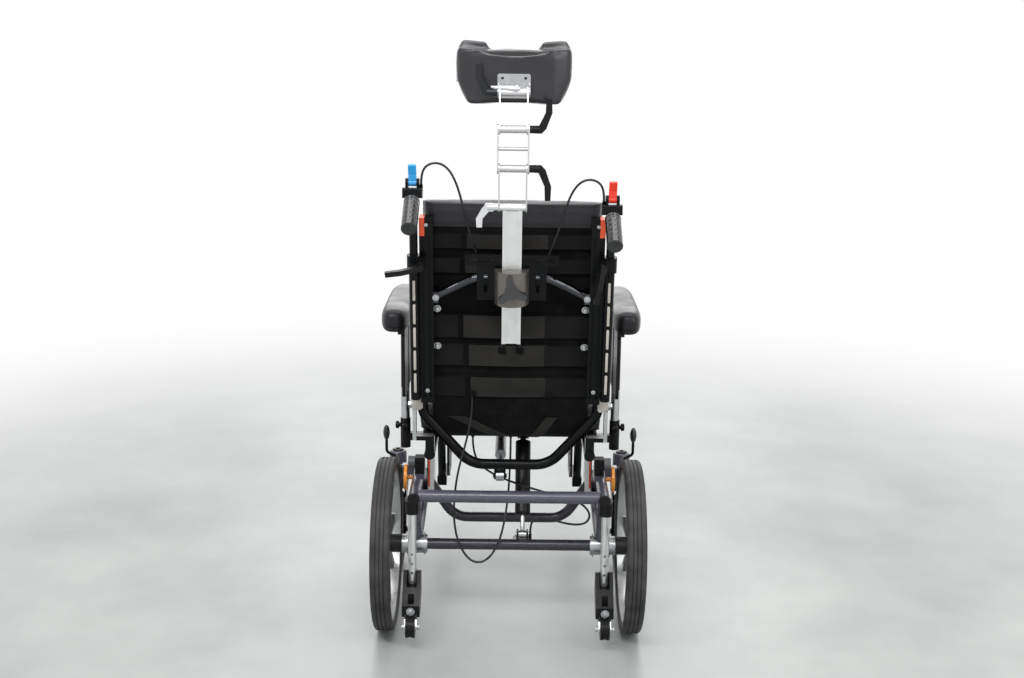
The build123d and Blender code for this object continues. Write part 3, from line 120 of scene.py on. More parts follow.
class WheelchairHardware(bpy.types.PropertyGroup):
    """Sizes of the cables, grips and fasteners"""

    cable_radius: bpy.props.FloatProperty(
        name="Cable radius", description="Outside radius of a release cable", default=0.0025,
        min=0.001, unit="LENGTH")
    grip_radius: bpy.props.FloatProperty(
        name="Grip radius", description="Radius of the push grips", default=0.0168,
        min=0.012, unit="LENGTH")
    dimple: bpy.props.FloatProperty(
        name="Dimple", description="Depth of the dimples in a grip", default=0.0011,
        min=0.0, unit="LENGTH")


class WheelchairStage(bpy.types.PropertyGroup):
    """Camera and light"""

    distance: bpy.props.FloatProperty(
        name="Distance", description="Camera behind the rear axle", default=3.0, unit="LENGTH")
    height: bpy.props.FloatProperty(
        name="Height", description="Camera above the floor", default=1.384, unit="LENGTH")
    pitch: bpy.props.FloatProperty(
        name="Pitch", description="Camera tilt below level", default=radians(13),
        subtype="ANGLE")
    roll: bpy.props.FloatProperty(
        name="Roll", description="Camera roll", default=radians(0.7), subtype="ANGLE")
    lens: bpy.props.FloatProperty(
        name="Lens", description="Focal length in millimetres", default=48.1, min=10)


# ---------------------------------------------------------------- materials
def linear(code):
    """A colour written as sRGB hex, as the shader reads it."""
    parts = [int(code[i:i + 2], 16) / 255 for i in (1, 3, 5)]
    return tuple(p / 12.92 if p <= 0.04045 else ((p + 0.055) / 1.055) ** 2.4
                 for p in parts) + (1.0,)


def add(tree, kind, links=None, **settings):
    """One shader node: settings named as attributes or as sockets, and links by socket."""
    node = tree.nodes.new("ShaderNode" + kind)
    for key, value in settings.items():
        if hasattr(node, key):
            setattr(node, key, value)
        else:
            node.inputs[key.replace("_", " ")].default_value = value
    for key, source in (links or {}).items():
        tree.links.new(source, node.inputs[key])
    return node


def maths(tree, operation, first, second=0.0, clamp=False):
    """A math node on links or plain numbers."""
    node = add(tree, "Math", operation=operation, use_clamp=clamp)
    for slot, value in enumerate((first, second)):
        if isinstance(value, (int, float)):
            node.inputs[slot].default_value = value
        else:
            tree.links.new(value, node.inputs[slot])
    return node.outputs[0]


def ramp(tree, value, *stops):
    """A colour ramp between two (position, colour) stops."""
    node = add(tree, "ValToRGB", {"Fac": value})
    for element, (position, color) in zip(node.color_ramp.elements, stops):
        element.position = position
        element.color = color
    return node.outputs["Color"]


def mixed(tree, factor, first, second):
    """One shader laid over another."""
    mix = add(tree, "MixShader", {"Fac": factor})
    tree.links.new(first, mix.inputs[1])
    tree.links.new(second, mix.inputs[2])
    return mix.outputs[0]


def empty_tree(holder):
    """The cleared node tree of a material or world."""
    holder.use_nodes = True
    holder.node_tree.nodes.clear()
    return holder.node_tree


class Finish:
    """What one surface is made of; built into a shader inside any material."""

    def __init__(self, color, roughness, metallic=0.0, vary=0.12, spot=30.0, grain="noise",
                 grain_mm=1.0, relief_mm=0.02, stretch=(1, 1, 1), coat=0.0, sheen=0.0,
                 second=None, rough_vary=0.08, specular=0.5):
        self.__dict__.update(locals())

    def build(self, tree, place):
        """The surface's shader, from Object coordinates in metres."""
        mapped = add(tree, "Mapping", {"Vector": place}, Scale=self.stretch).outputs["Vector"]
        scale = 1 / (self.grain_mm * MM)
        if self.grain == "cells":
            cells = add(tree, "TexVoronoi", {"Vector": mapped}, feature="F1", Scale=scale)
            height = cells.outputs["Distance"]
        elif self.grain == "weave":
            warp, weft = (add(tree, "TexWave", {"Vector": mapped}, wave_type="BANDS",
                              bands_direction=way, Scale=scale / 3.2,
                              Distortion=0.6).outputs["Fac"] for way in "XZ")
            height = maths(tree, "MULTIPLY", warp, weft)
        else:
            height = add(tree, "TexNoise", {"Vector": mapped}, Scale=scale,
                         Detail=3.0).outputs["Fac"]
        cloud = add(tree, "TexNoise", {"Vector": place}, Scale=self.spot,
                    Detail=4.0).outputs["Fac"]
        low = linear(self.color)
        high = linear(self.second) if self.second else tuple(
            min(1.0, c * (1 + 2.2 * self.vary) + 0.01 * self.vary) for c in low[:3]) + (1.0,)
        low = tuple(c * (1 - self.vary) for c in low[:3]) + (1.0,)
        color = ramp(tree, cloud, (0.3, low), (0.75, high))
        worn = add(tree, "MapRange", {"Value": cloud}, From_Min=0.3, From_Max=0.7,
                   To_Min=max(0.02, self.roughness - self.rough_vary),
                   To_Max=min(1.0, self.roughness + self.rough_vary)).outputs["Result"]
        bump = add(tree, "Bump", {"Height": height}, Strength=1.0,
                   Distance=self.relief_mm * MM)
        shader = add(tree, "BsdfPrincipled", {
            "Base Color": color, "Roughness": worn,
            "Normal": bump.outputs["Normal"]}, Metallic=self.metallic,
            Specular_IOR_Level=self.specular)
        for layer, weight, rough in (("Coat", self.coat, 0.18), ("Sheen", self.sheen, 0.5)):
            if weight:
                shader.inputs[layer + " Weight"].default_value = weight
                shader.inputs[layer + " Roughness"].default_value = rough
        return shader.outputs["BSDF"]


FINISHES = {
    "powder_coat": Finish("#4b4a58", 0.30, vary=0.08, grain_mm=1.1, relief_mm=0.014, coat=0.35),
    "black_powder_coat": Finish(
        "#0a0b0d", 0.22, vary=0.15, grain_mm=1.1, relief_mm=0.010, specular=0.14, rough_vary=0.05),
    "zinc_plate": Finish(
        "#b4b6b8", 0.28, metallic=1.0, vary=0.07, grain_mm=0.8, relief_mm=0.006, spot=45),
    "bare_aluminium": Finish(
        "#dcdedd", 0.34, metallic=0.8, vary=0.04, grain_mm=0.5, relief_mm=0.008,
        stretch=(1, 1, 0.04)),
    "polished_chrome": Finish(
        "#d9dadd", 0.07, metallic=1.0, vary=0.03, grain_mm=6, relief_mm=0.004, rough_vary=0.03),
    # painted reflection: steel whose colour is darkened to stand for the dark surroundings its
    # plates reflect
    "bright_steel": Finish("#4c4d4f", 0.26, metallic=1.0, vary=0.06, grain_mm=0.8, relief_mm=0.005),
    # painted shade: a darker copy of powder_coat for the low tubes under the seat, standing for the
    # shade that falls there
    "dark_powder_coat": Finish(
        "#2f2e38", 0.28, vary=0.08, grain_mm=1.1, relief_mm=0.014, coat=0.2, specular=0.4),
    "cast_alloy": Finish("#6f6a66", 0.30, metallic=0.7, vary=0.08, grain_mm=0.8, relief_mm=0.012),
    # painted reflection: chrome whose colour is darkened to stand for the dark surroundings it
    # reflects
    "dark_chrome": Finish(
        "#47484c", 0.10, metallic=1.0, vary=0.05, grain_mm=4, relief_mm=0.004, rough_vary=0.04),
    "gunmetal": Finish("#34363a", 0.24, metallic=0.9, vary=0.06, grain_mm=1.2, relief_mm=0.01),
    "silver_cylinder": Finish(
        "#9b9ea4", 0.30, metallic=0.9, vary=0.05, grain_mm=0.6, relief_mm=0.006),
    "moulded_black": Finish(
        "#0f0f11", 0.36, vary=0.18, grain="cells", grain_mm=0.7, relief_mm=0.03, specular=0.2),
    "moulded_gloss": Finish(
        "#2c2c2f", 0.22, vary=0.15, grain_mm=0.9, relief_mm=0.012, specular=0.6, coat=0.3),
    "moulded_grey": Finish(
        "#5c5d60", 0.45, vary=0.12, grain="cells", grain_mm=0.7, relief_mm=0.035, specular=0.4),
    "moulded_pale": Finish("#b9b2aa", 0.40, vary=0.08, grain_mm=0.8, relief_mm=0.02),
    "tyre_rubber": Finish(
        "#242426", 0.60, vary=0.25, spot=22, grain_mm=0.9, relief_mm=0.05, second="#4a4949",
        specular=0.35),
    "soft_black_rubber": Finish(
        "#151517", 0.24, vary=0.2, grain_mm=0.6, relief_mm=0.015, specular=0.55, coat=0.2,
        rough_vary=0.05),
    "cable_sheath": Finish(
        "#141416", 0.30, vary=0.15, grain_mm=0.8, relief_mm=0.01, coat=0.1, specular=0.4),
    "spoke_plastic": Finish(
        "#151517", 0.40, vary=0.2, grain="cells", grain_mm=0.8, relief_mm=0.04, specular=0.3),
    "amber_lens": Finish(
        "#f28a14", 0.20, vary=0.12, grain="cells", grain_mm=2.4, relief_mm=0.30, coat=0.6,
        second="#ffab2e"),
    "blue_plastic": Finish("#2a9fe0", 0.30, vary=0.08, grain_mm=0.7, relief_mm=0.015, coat=0.2),
    "red_plastic": Finish("#ee3a22", 0.30, vary=0.08, grain_mm=0.7, relief_mm=0.015, coat=0.2),
    "orange_plastic": Finish("#f0582e", 0.34, vary=0.08, grain_mm=0.7, relief_mm=0.015),
    "vinyl": Finish(
        "#2e2d32", 0.38, vary=0.14, spot=12, grain="cells", grain_mm=1.1, relief_mm=0.05,
        specular=0.22),
    "glossy_vinyl": Finish(
        "#26252a", 0.26, vary=0.14, spot=12, grain="cells", grain_mm=1.1, relief_mm=0.04,
        specular=0.5, rough_vary=0.05),
    "urethane": Finish(
        "#232226", 0.34, vary=0.12, spot=14, grain="cells", grain_mm=0.9, relief_mm=0.04,
        specular=0.22),
    "velour": Finish(
        "#0a0a0b", 0.85, vary=0.35, grain_mm=0.7, relief_mm=0.16, sheen=0.04, specular=0.06),
    "loop_webbing": Finish(
        "#262524", 0.80, vary=0.2, spot=9, grain="weave", grain_mm=1.3, relief_mm=0.22,
        sheen=0.06, second="#383633", specular=0.12),
    "hook_webbing": Finish(
        "#0f0f11", 0.70, vary=0.25, spot=12, grain="cells", grain_mm=0.9, relief_mm=0.22,
        sheen=0.03, second="#1d1d1f", specular=0.12),
    "thread": Finish("#3a393d", 0.6, vary=0.2, grain_mm=0.3, relief_mm=0.03),
}


def test(tree, place, rule):
    """1 where a point passes a rule, else 0.

    A rule is ("side", direction, limit), ("across", limit) or ("ring", centre, limit).
    The last measures from the X line through the centre.
    """
    kind = rule[0]
    if kind == "side":
        reach = add(tree, "VectorMath", operation="DOT_PRODUCT")
        tree.links.new(place, reach.inputs[0])
        reach.inputs[1].default_value = rule[1]
        return maths(tree, "GREATER_THAN", reach.outputs["Value"], rule[2])
    apart = add(tree, "SeparateXYZ", {"Vector": place})
    if kind == "across":
        return maths(tree, "GREATER_THAN", maths(tree, "ABSOLUTE", apart.outputs["X"]), rule[1])
    y = maths(tree, "SUBTRACT", apart.outputs["Y"], rule[1][1])
    z = maths(tree, "SUBTRACT", apart.outputs["Z"], rule[1][2])
    square = maths(tree, "ADD", maths(tree, "MULTIPLY", y, y), maths(tree, "MULTIPLY", z, z))
    return maths(tree, "GREATER_THAN", square, rule[2] ** 2)


def above(z):
    return ("side", (0, 0, 1), z)


def below(z):
    return ("not side", (0, 0, 1), z)


def ahead(y):
    """In front of a place in millimetres from the rear axle."""
    return ("side", (0, 1, 0), chair(0, y, 0).y)


def behind(y):
    """Behind a place in millimetres from the rear axle."""
    return ("not side", (0, 1, 0), chair(0, y, 0).y)


def past(direction, spot, kind="side"):
    """Further along a direction than a spot, or with "not side" less far."""
    return (kind, tuple(direction), direction.dot(spot))


def material(name, base=None, zones=()):
    """A material of one finish, or of several laid over it where their rules all hold.

    Without a base, the finish has the material's name. A rule with "not " before its
    kind holds where it fails.
    """
    made = bpy.data.materials.get(name)
    if made:
        return made
    made = bpy.data.materials.new(name)
    tree = empty_tree(made)
    place = add(tree, "TexCoord").outputs["Object"]
    shader = FINISHES[base or name].build(tree, place)
    for finish, rules in zones:
        factor = None
        for rule in rules:
            inverted = rule[0].startswith("not ")
            value = test(tree, place, (rule[0].removeprefix("not "),) + tuple(rule[1:]))
            if inverted:
                value = maths(tree, "SUBTRACT", 1.0, value)
            factor = value if factor is None else maths(tree, "MULTIPLY", factor, value)
        shader = mixed(tree, factor, shader, FINISHES[finish].build(tree, place))
    add(tree, "OutputMaterial", {"Surface": shader})
    return made


def coat(node, made):
    """A CAD node takes a material in each of its slots."""
    for slot in NODES[node].material_slots:
        slot.material = made


# ---------------------------------------------------------------- mesh helpers
def finished(name, mesh_maker, made, body=None, smooth_angle=40.0, replaces=(), slot=None):
    """A mesh object from a bmesh, cleaned, shaded and riding on its body."""
    mesh = bpy.data.meshes.new(name)
    bmesh.ops.remove_doubles(mesh_maker, verts=mesh_maker.verts, dist=1e-6)
    bmesh.ops.recalc_face_normals(mesh_maker, faces=mesh_maker.faces)
    mesh_maker.to_mesh(mesh)
    mesh_maker.free()
    piece = bpy.data.objects.new(name, mesh)
    bpy.context.scene.collection.objects.link(piece)
    mesh.materials.append(made)
    mesh.shade_smooth()
    mesh.set_sharp_from_angle(angle=radians(smooth_angle))
    if body:
        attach(piece, body)
    if replaces:
        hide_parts(*replaces)
    return piece


def signed(value, power):
    """A power of a value's size, with the value's sign."""
    return abs(value) ** power * (1 if value > 0 else -1)


def skin(maker, rings):
    """Faces from ring to ring, and one over each end."""
    around = len(rings[0])
    for low, high in zip(rings, rings[1:]):
        for k in range(around):
            after = (k + 1) % around
            maker.faces.new((low[k], low[after], high[after], high[k]))
    maker.faces.new(rings[0][::-1])
    maker.faces.new(rings[-1])


def basis(origin, normal):
    """A placement with Z along a normal."""
    z = Vector(normal).normalized()
    x = UP.cross(z)
    if x.length < 1e-4:
        x = Vector((1, 0, 0))
    x.normalize()
    y = z.cross(x)
    turn = Matrix((x, y, z)).transposed().to_4x4()
    return Matrix.Translation(origin) @ turn


def lathe(maker, profile, placement, steps=32):
    """Turns a profile of (radius, height) in metres about the placement's Z axis."""
    rings = []
    for radius, height in profile:
        if radius < 1e-6:
            rings.append([maker.verts.new(placement @ Vector((0, 0, height)))])
            continue
        rings.append([maker.verts.new(placement @ Vector((
            radius * cos(2 * pi * i / steps), radius * sin(2 * pi * i / steps), height)))
            for i in range(steps)])
    for low, high in zip(rings, rings[1:]):
        for i in range(steps):
            j = (i + 1) % steps
            corners = [low[i % len(low)], low[j % len(low)], high[j % len(high)],
                       high[i % len(high)]]
            unique = list(dict.fromkeys(corners))
            if len(unique) > 2:
                maker.faces.new(unique)


def prism(maker, outline, height, placement, bevel=0.0):
    """A plate of an outline in metres, raised along the placement's Z, with eased edges."""
    base = [maker.verts.new(placement @ Vector((x, y, 0))) for x, y in outline]
    face = maker.faces.new(base)
    lifted = bmesh.ops.extrude_face_region(maker, geom=[face])
    top = [v for v in lifted["geom"] if isinstance(v, bmesh.types.BMVert)]
    shift = placement.to_3x3() @ Vector((0, 0, height))
    bmesh.ops.translate(maker, verts=top, vec=shift)
    if bevel:
        edges = [e for v in top for e in v.link_edges if e.other_vert(v) in top]
        bmesh.ops.bevel(maker, geom=list(set(edges)), offset=bevel, affect="EDGES",
                        segments=2, profile=0.5, material=-1)


def hexagon(across_flats):
    """The corners of a nut."""
    radius = across_flats / 2 / cos(pi / 6)
    return [(radius * cos(pi / 3 * i), radius * sin(pi / 3 * i)) for i in range(6)]


def tube_mesh(maker, points, radius, sides):
    """A round tube along points, without twist."""
    rings = []
    normal = None
    for i, point in enumerate(points):
        ahead = points[min(i + 1, len(points) - 1)] - points[max(i - 1, 0)]
        ahead.normalize()
        if normal is None:
            normal = ahead.orthogonal().normalized()
        normal = (normal - ahead * normal.dot(ahead)).normalized()
        other = ahead.cross(normal)
        rings.append([maker.verts.new(
            point + (normal * cos(2 * pi * k / sides) + other * sin(2 * pi * k / sides)) * radius)
            for k in range(sides)])
    skin(maker, rings)


def resample(points, pitch):
    """Points a fixed distance apart along a run."""
    out = [points[0].copy()]
    left = pitch
    for a, b in zip(points, points[1:]):
        step = (b - a).length
        done = 0.0
        while step - done > left:
            done += left
            out.append(a.lerp(b, done / step))
            left = pitch
        left -= step - done
    return out


def tree_of(piece):
    """The piece's surface, for finding the nearest point on it."""
    maker = bmesh.new()
    maker.from_mesh(piece.data)
    found = BVHTree.FromBMesh(maker)
    maker.free()
    return found


def groove(piece, runs, width, depth):
    """Presses a seam into the surface along runs of points."""
    samples = [p for run in runs for p in resample(run, width / 2)]
    index = KDTree(len(samples))
    for i, p in enumerate(samples):
        index.insert(p, i)
    index.balance()
    mesh = piece.data
    moves = []
    for vertex in mesh.vertices:
        _, _, gap = index.find(vertex.co)
        if gap < 3 * width:
            moves.append((vertex.index, vertex.normal * depth * exp(-(gap / width) ** 2)))
    for i, move in moves:
        mesh.vertices[i].co -= move


def sew(name, piece, runs, body, made, settings):
    """Stitches along runs, lying on the piece's surface."""
    surface = tree_of(piece)
    maker = bmesh.new()
    for run in runs:
        points = resample(run, settings.stitch_pitch)
        for a, b in zip(points, points[1:]):
            ahead = (b - a).normalized()
            spot, normal, _, _ = surface.find_nearest((a + b) / 2)
            if spot is None:
                raise RuntimeError("a stitch found no surface")
            half = ahead * settings.stitch_length / 2
            lift = normal * settings.thread * 0.7
            ends = [spot - half, spot - half * 0.7 + lift, spot + half * 0.7 + lift, spot + half]
            tube_mesh(maker, ends, settings.thread, sides=6)
    return finished(name, maker, made, body)


def stuffed(name, source, made, body, settings, shrink=0.003, cap=None, soften=4, backing=None):
    """A stuffed cover: a CAD solid's form, remeshed, filled by cloth pressure and smoothed.

    A cover with a backing, the direction of its flat side, stays within the solid there.
    """
    mesh = NODES[source].data.copy()
    mesh.name = name
    mesh.materials.clear()
    piece = bpy.data.objects.new(name, mesh)
    bpy.context.scene.collection.objects.link(piece)
    remesh = piece.modifiers.new("Remesh", "REMESH")
    remesh.mode = "VOXEL"
    remesh.voxel_size = settings.voxel
    smooth = piece.modifiers.new("Smooth", "SMOOTH")
    smooth.factor = 0.5
    smooth.iterations = soften
    settle(piece)
    for vertex in piece.data.vertices:
        vertex.co -= vertex.normal * shrink
    start = [(v.co.copy(), v.normal.copy()) for v in piece.data.vertices]
    cloth = piece.modifiers.new("Cloth", "CLOTH")
    cloth.settings.use_pressure = True
    cloth.settings.uniform_pressure_force = settings.pressure
    cloth.settings.quality = 5
    cloth.settings.effector_weights.gravity = 0
    cloth.point_cache.frame_start = 1
    cloth.point_cache.frame_end = CLOTH_STEPS
    for step in range(1, CLOTH_STEPS + 1):
        bpy.context.scene.frame_set(step)
        bpy.context.view_layer.update()
    settle(piece)
    bpy.context.scene.frame_set(1)
    limit = settings.puff if cap is None else cap
    for vertex, (rest, normal) in zip(piece.data.vertices, start):
        move = vertex.co - rest
        if move.length > limit:
            move *= limit / move.length
        if backing and normal.dot(backing) > 0.3:
            move -= backing * max(0.0, move.dot(backing) - shrink / 2)
        vertex.co = rest + move
    relax = piece.modifiers.new("Relax", "SMOOTH")
    relax.factor = 0.5
    relax.iterations = 3
    settle(piece)
    piece.data.materials.append(made)
    piece.data.shade_smooth()
    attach(piece, body)
    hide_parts(source)
    return piece


def settle(piece):
    """Turns the piece's modifiers into its mesh."""
    bpy.context.view_layer.update()
    seen = piece.evaluated_get(bpy.context.evaluated_depsgraph_get())
    mesh = bpy.data.meshes.new_from_object(seen)
    mesh.name = piece.name
    piece.modifiers.clear()
    old = piece.data
    piece.data = mesh
    bpy.data.meshes.remove(old)


# ---------------------------------------------------------------- operators
class WHEELCHAIR_OT_finishes(bpy.types.Operator):
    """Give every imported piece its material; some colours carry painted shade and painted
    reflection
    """

    bl_idname = "wheelchair.finishes"
    bl_label = "Finishes"

    def execute(self, context):
        plain = {
            "powder_coat": ["rear_cross_tube"],
            # painted shade: the front cross tube takes the darkened copy of the frame's powder coat
            "dark_powder_coat": ["front_cross_tube"],
            "black_powder_coat": ["caster_fork_left", "caster_fork_right", "back_tube",
                                  "legrest_hanger_left", "legrest_hanger_right"],
            "bare_aluminium": ["headrest_bar"],
            "zinc_plate": ["headrest_plate", "tilt_spring_rod", "recline_spring_rod"],
            # painted reflection: the links' steel is darkened in place of dark reflections
            "bright_steel": ["headrest_link_lower", "headrest_link_middle",
                             "headrest_link_upper"],
            "polished_chrome": ["headrest_lever_1"],
            # painted reflection: the crossbar's chrome is darkened in place of the dark
            # surroundings it reflects
            "dark_chrome": ["headrest_crossbar"],
            "gunmetal": ["headrest_lever_4"],
            "silver_cylinder": ["recline_spring_cylinder"],
            "moulded_black": ["headrest_lever_2", "headrest_lever_3", "handle_lever_left",
                              "handle_lever_right", "armrest_pad_left",
                              "armrest_pad_right", "anti_tip_wheel_left",
                              "anti_tip_wheel_right", "footplate_left", "footplate_right",
                              "tilt_spring_cylinder"],
            "moulded_gloss": ["star_knob"],
            "amber_lens": ["reflectors"],
            "blue_plastic": ["tilt_trigger"],
            "red_plastic": ["recline_trigger"],
            "cable_sheath": ["tilt_cable_upper", "recline_cable_upper", "recline_cable_lower",
                             "tilt_cable_lower"],
            "velour": ["back_straps"],
            "vinyl": ["seat_cushion", "back_cushion", "headrest_pad"],
        }
        for finish, nodes in plain.items():
            for node in nodes:
                coat(node, material(finish))
        slope = Vector((0, 0.62, 0.785))
        for name in SIDES:
            wheel = middle(f"rear_wheel_{name}")
            coat(f"rear_wheel_{name}", material(f"rear_wheel_{name}", "spoke_plastic", (
                ("bare_aluminium", (("ring", wheel, RIM_INSIDE),)),
                ("tyre_rubber", (("ring", wheel, TYRE_INSIDE),)),
            )))
            caster = middle(f"caster_wheel_{name}")
            coat(f"caster_wheel_{name}", material(f"caster_wheel_{name}", "spoke_plastic", (
                ("tyre_rubber", (("ring", caster, CASTER_TYRE_INSIDE),)),
            )))
            coat(f"side_frame_{name}", material("welded_side", "powder_coat", (
                ("moulded_black", (above(0.3585), ahead(31), behind(61))),
                ("moulded_grey", (above(0.3585), ("across", 0.2205), ahead(31), behind(61))),
                ("moulded_black", (behind(-99.5),)),
                ("moulded_black", (behind(-58), below(0.3325))),
                ("bare_aluminium", (("not across", SPRING_COVER_INSIDE), ahead(210), behind(290),
                                    above(0.222))),
                ("orange_plastic", (("not across", SPRING_COVER_INSIDE), ("across", 0.1968),
                                    behind(290), ahead(210), above(0.262), below(0.352))),
            )))
            coat(f"back_cane_{name}", material("cane", "black_powder_coat", (
                ("orange_plastic", (past(BACK_UP, back(0, 0, 405)), ("across", 0.1885))),
            )))
            coat(f"push_handle_{name}", material("handle", "black_powder_coat", (
                ("soft_black_rubber", (behind(-140),)),
            )))
            coat(f"armrest_frame_{name}", material("armrest", "zinc_plate", (
                ("moulded_black", (above(0.5445),)),
            )))
            coat(f"anti_tip_arm_{name}", material("anti_tip", "bare_aluminium", (
                ("moulded_black", (below(0.166), past(slope, chair(0, -131, 66)))),
                ("bare_aluminium", (("across", 0.2088), ("not across", 0.2292), ahead(-86),
                                    behind(-74.4), above(0.1345), below(0.181))),
            )))
            coat(f"parking_brake_{name}", material("brake", "black_powder_coat", (
                ("soft_black_rubber", (above(0.391),)),
            )))
        coat("headrest_clamp", material("clamp", "black_powder_coat", (
            ("cast_alloy", (("not across", 0.0372),
                            past(BACK_FORWARD, back(0, -61.5, 0), "not side"))),
        )))
        # painted shade: the axle tube takes the darkened copy of the frame's powder coat
        coat("rear_axle", material("axle", "dark_powder_coat", (
            ("zinc_plate", (("across", 0.1885),)),
            ("black_powder_coat", (above(0.2133), ("not across", 0.07))),
        )))
        coat("seat_frame", material("seat_base", "black_powder_coat", (
            ("zinc_plate", (("across", 0.2125), above(0.4565), behind(20))),
            ("moulded_black", (("across", 0.2325), ahead(60))),
        )))
        return {"FINISHED"}


class WHEELCHAIR_OT_cushions(bpy.types.Operator):
    """Seat and back cushions: crowned covers with sewn edges"""

    bl_idname = "wheelchair.cushions"
    bl_label = "Cushions"

    def execute(self, context):
        settings = context.scene.wheelchair_upholstery
        thread = material("thread")
        seat = stuffed("seat_cushion_cover", "seat_cushion", material("vinyl"), "seat", settings)
        low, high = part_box("seat_cushion")
        inset, front_inset = 0.001, 0.012
        left, right, rear = low[0] + inset, high[0] - inset, low[1] + inset
        front = high[1] - front_inset
        corners = [(left, rear), (right, rear), (right, front), (left, front), (left, rear)]
        seams = [[Vector((x, y, z)) for x, y in corners]
                 for z in (low[2] + 0.008, high[2] - 0.017)]
        groove(seat, seams, 0.0045, 0.0022)
        sew("seat_cushion_stitching", seat, seams, "seat", thread, settings)
        made = material("back_cover", "vinyl", (
            ("velour", (past(BACK_UP, back(0, 0, 417), "not side"),
                        past(BACK_FORWARD, back(0, 24, 0), "not side"))),
        ))
        cushion = stuffed("back_cushion_cover", "back_cushion", made, "backrest", settings,
                          backing=-BACK_FORWARD)
        rear_seam = [back(-200, 4, 461), back(-100, 3, 462), back(100, 3, 462), back(200, 4, 461)]
        base_seam = [back(-200, 4, 417), back(-80, 3, 417), back(80, 3, 417), back(200, 4, 417)]
        front_seam = [back(-196, 55, 461), back(0, 66, 461), back(196, 55, 461)]
        sides = [[back(side * 203, 30, 0), back(side * 203, 32, 456)] for side in SIDES.values()]
        groove(cushion, [rear_seam, base_seam, front_seam, *sides], 0.005, 0.003)
        sew("back_cushion_stitching", cushion, [rear_seam, front_seam, *sides], "backrest",
            thread, settings)
        return {"FINISHED"}


class WHEELCHAIR_OT_headrest(bpy.types.Operator):
    """Headrest pad with wings, sewn top edge and zip pull"""

    bl_idname = "wheelchair.headrest"
    bl_label = "Headrest pad"

    def execute(self, context):
        settings = context.scene.wheelchair_upholstery
        pad = stuffed("headrest_cover", "headrest_pad", material("glossy_vinyl"), "headrest",
                      settings, shrink=0.002, cap=0.004, soften=8, backing=Vector((0, -1, 0)))
        low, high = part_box("headrest_pad")
        wing_rise = 0.017
        z = high[2] - wing_rise - 0.010
        rear = [Vector((x, low[1] + 0.004, z)) for x in (-0.100, -0.05, 0, 0.05, 0.100)]
        ends = [[Vector((side * 0.119, low[1] + 0.030, z - 0.004)),
                 Vector((side * 0.123, low[1] + 0.032, low[2] + 0.056)),
                 Vector((side * 0.100, low[1] + 0.032, low[2] + 0.008))]
                for side in SIDES.values()]
        roots = [[Vector((side * 0.114, low[1] + 0.034, z + 0.004)),
                  Vector((side * 0.082, low[1] + 0.031, z + 0.009)),
                  Vector((side * 0.050, low[1] + 0.036, z + 0.008))]
                 for side in SIDES.values()]
        groove(pad, [rear, *ends, *roots], 0.004, 0.0022)
        sew("headrest_stitching", pad, [rear, *ends], "headrest", material("thread"),
            settings)
        maker = bmesh.new()
        spot, normal, _, _ = tree_of(pad).find_nearest(
            Vector((low[0], low[1] + 0.031, low[2] + 0.066)))
        place = basis(spot, normal)
        outline = [(-0.003, 0), (0.003, 0), (0.0042, -0.016), (0, -0.020), (-0.0042, -0.016)]
        prism(maker, outline, 0.0016, place, bevel=0.0004)
        finished("headrest_zip_pull", maker, material("zinc_plate"), "headrest")
        # the small tapered lever that holds the plate
        low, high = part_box("headrest_plate")
        maker = bmesh.new()
        pivot = Vector((0.006, low[1], high[2] - 0.012))
        spot, normal, _, _ = tree_of(NODES["headrest_plate"]).find_nearest(pivot)
        place = basis(spot - normal * 0.0005, normal)
        arm = [(-0.007, -0.005), (0.0, -0.008), (0.052, -0.0005), (0.055, 0.003), (0.052, 0.0065),
               (0.0, 0.008), (-0.007, 0.005)]
        side = 1 if place.to_3x3().col[0].x < 0 else -1
        outline = [(side * x, y) for x, y in arm]
        prism(maker, outline, 0.006, place @ Matrix.Translation((0, 0, 0.004)), bevel=0.0015)
        lathe(maker, [(0, 0), (0.0045, 0), (0.0045, 0.012), (0.0030, 0.0135), (0, 0.0135)],
              place, 24)
        # painted reflection: the plate lever takes the darkened steel
        finished("headrest_plate_lever", maker, material("bright_steel"),
                 "headrest")
        return {"FINISHED"}


# each strap's lower and upper edge, and where it folds back through its loop
STRAP_ROWS = ((20, 70), (95, 148), (162, 218), (313, 349), (369, 404))
FOLDS = (-88, -92, -104, -100, -96)


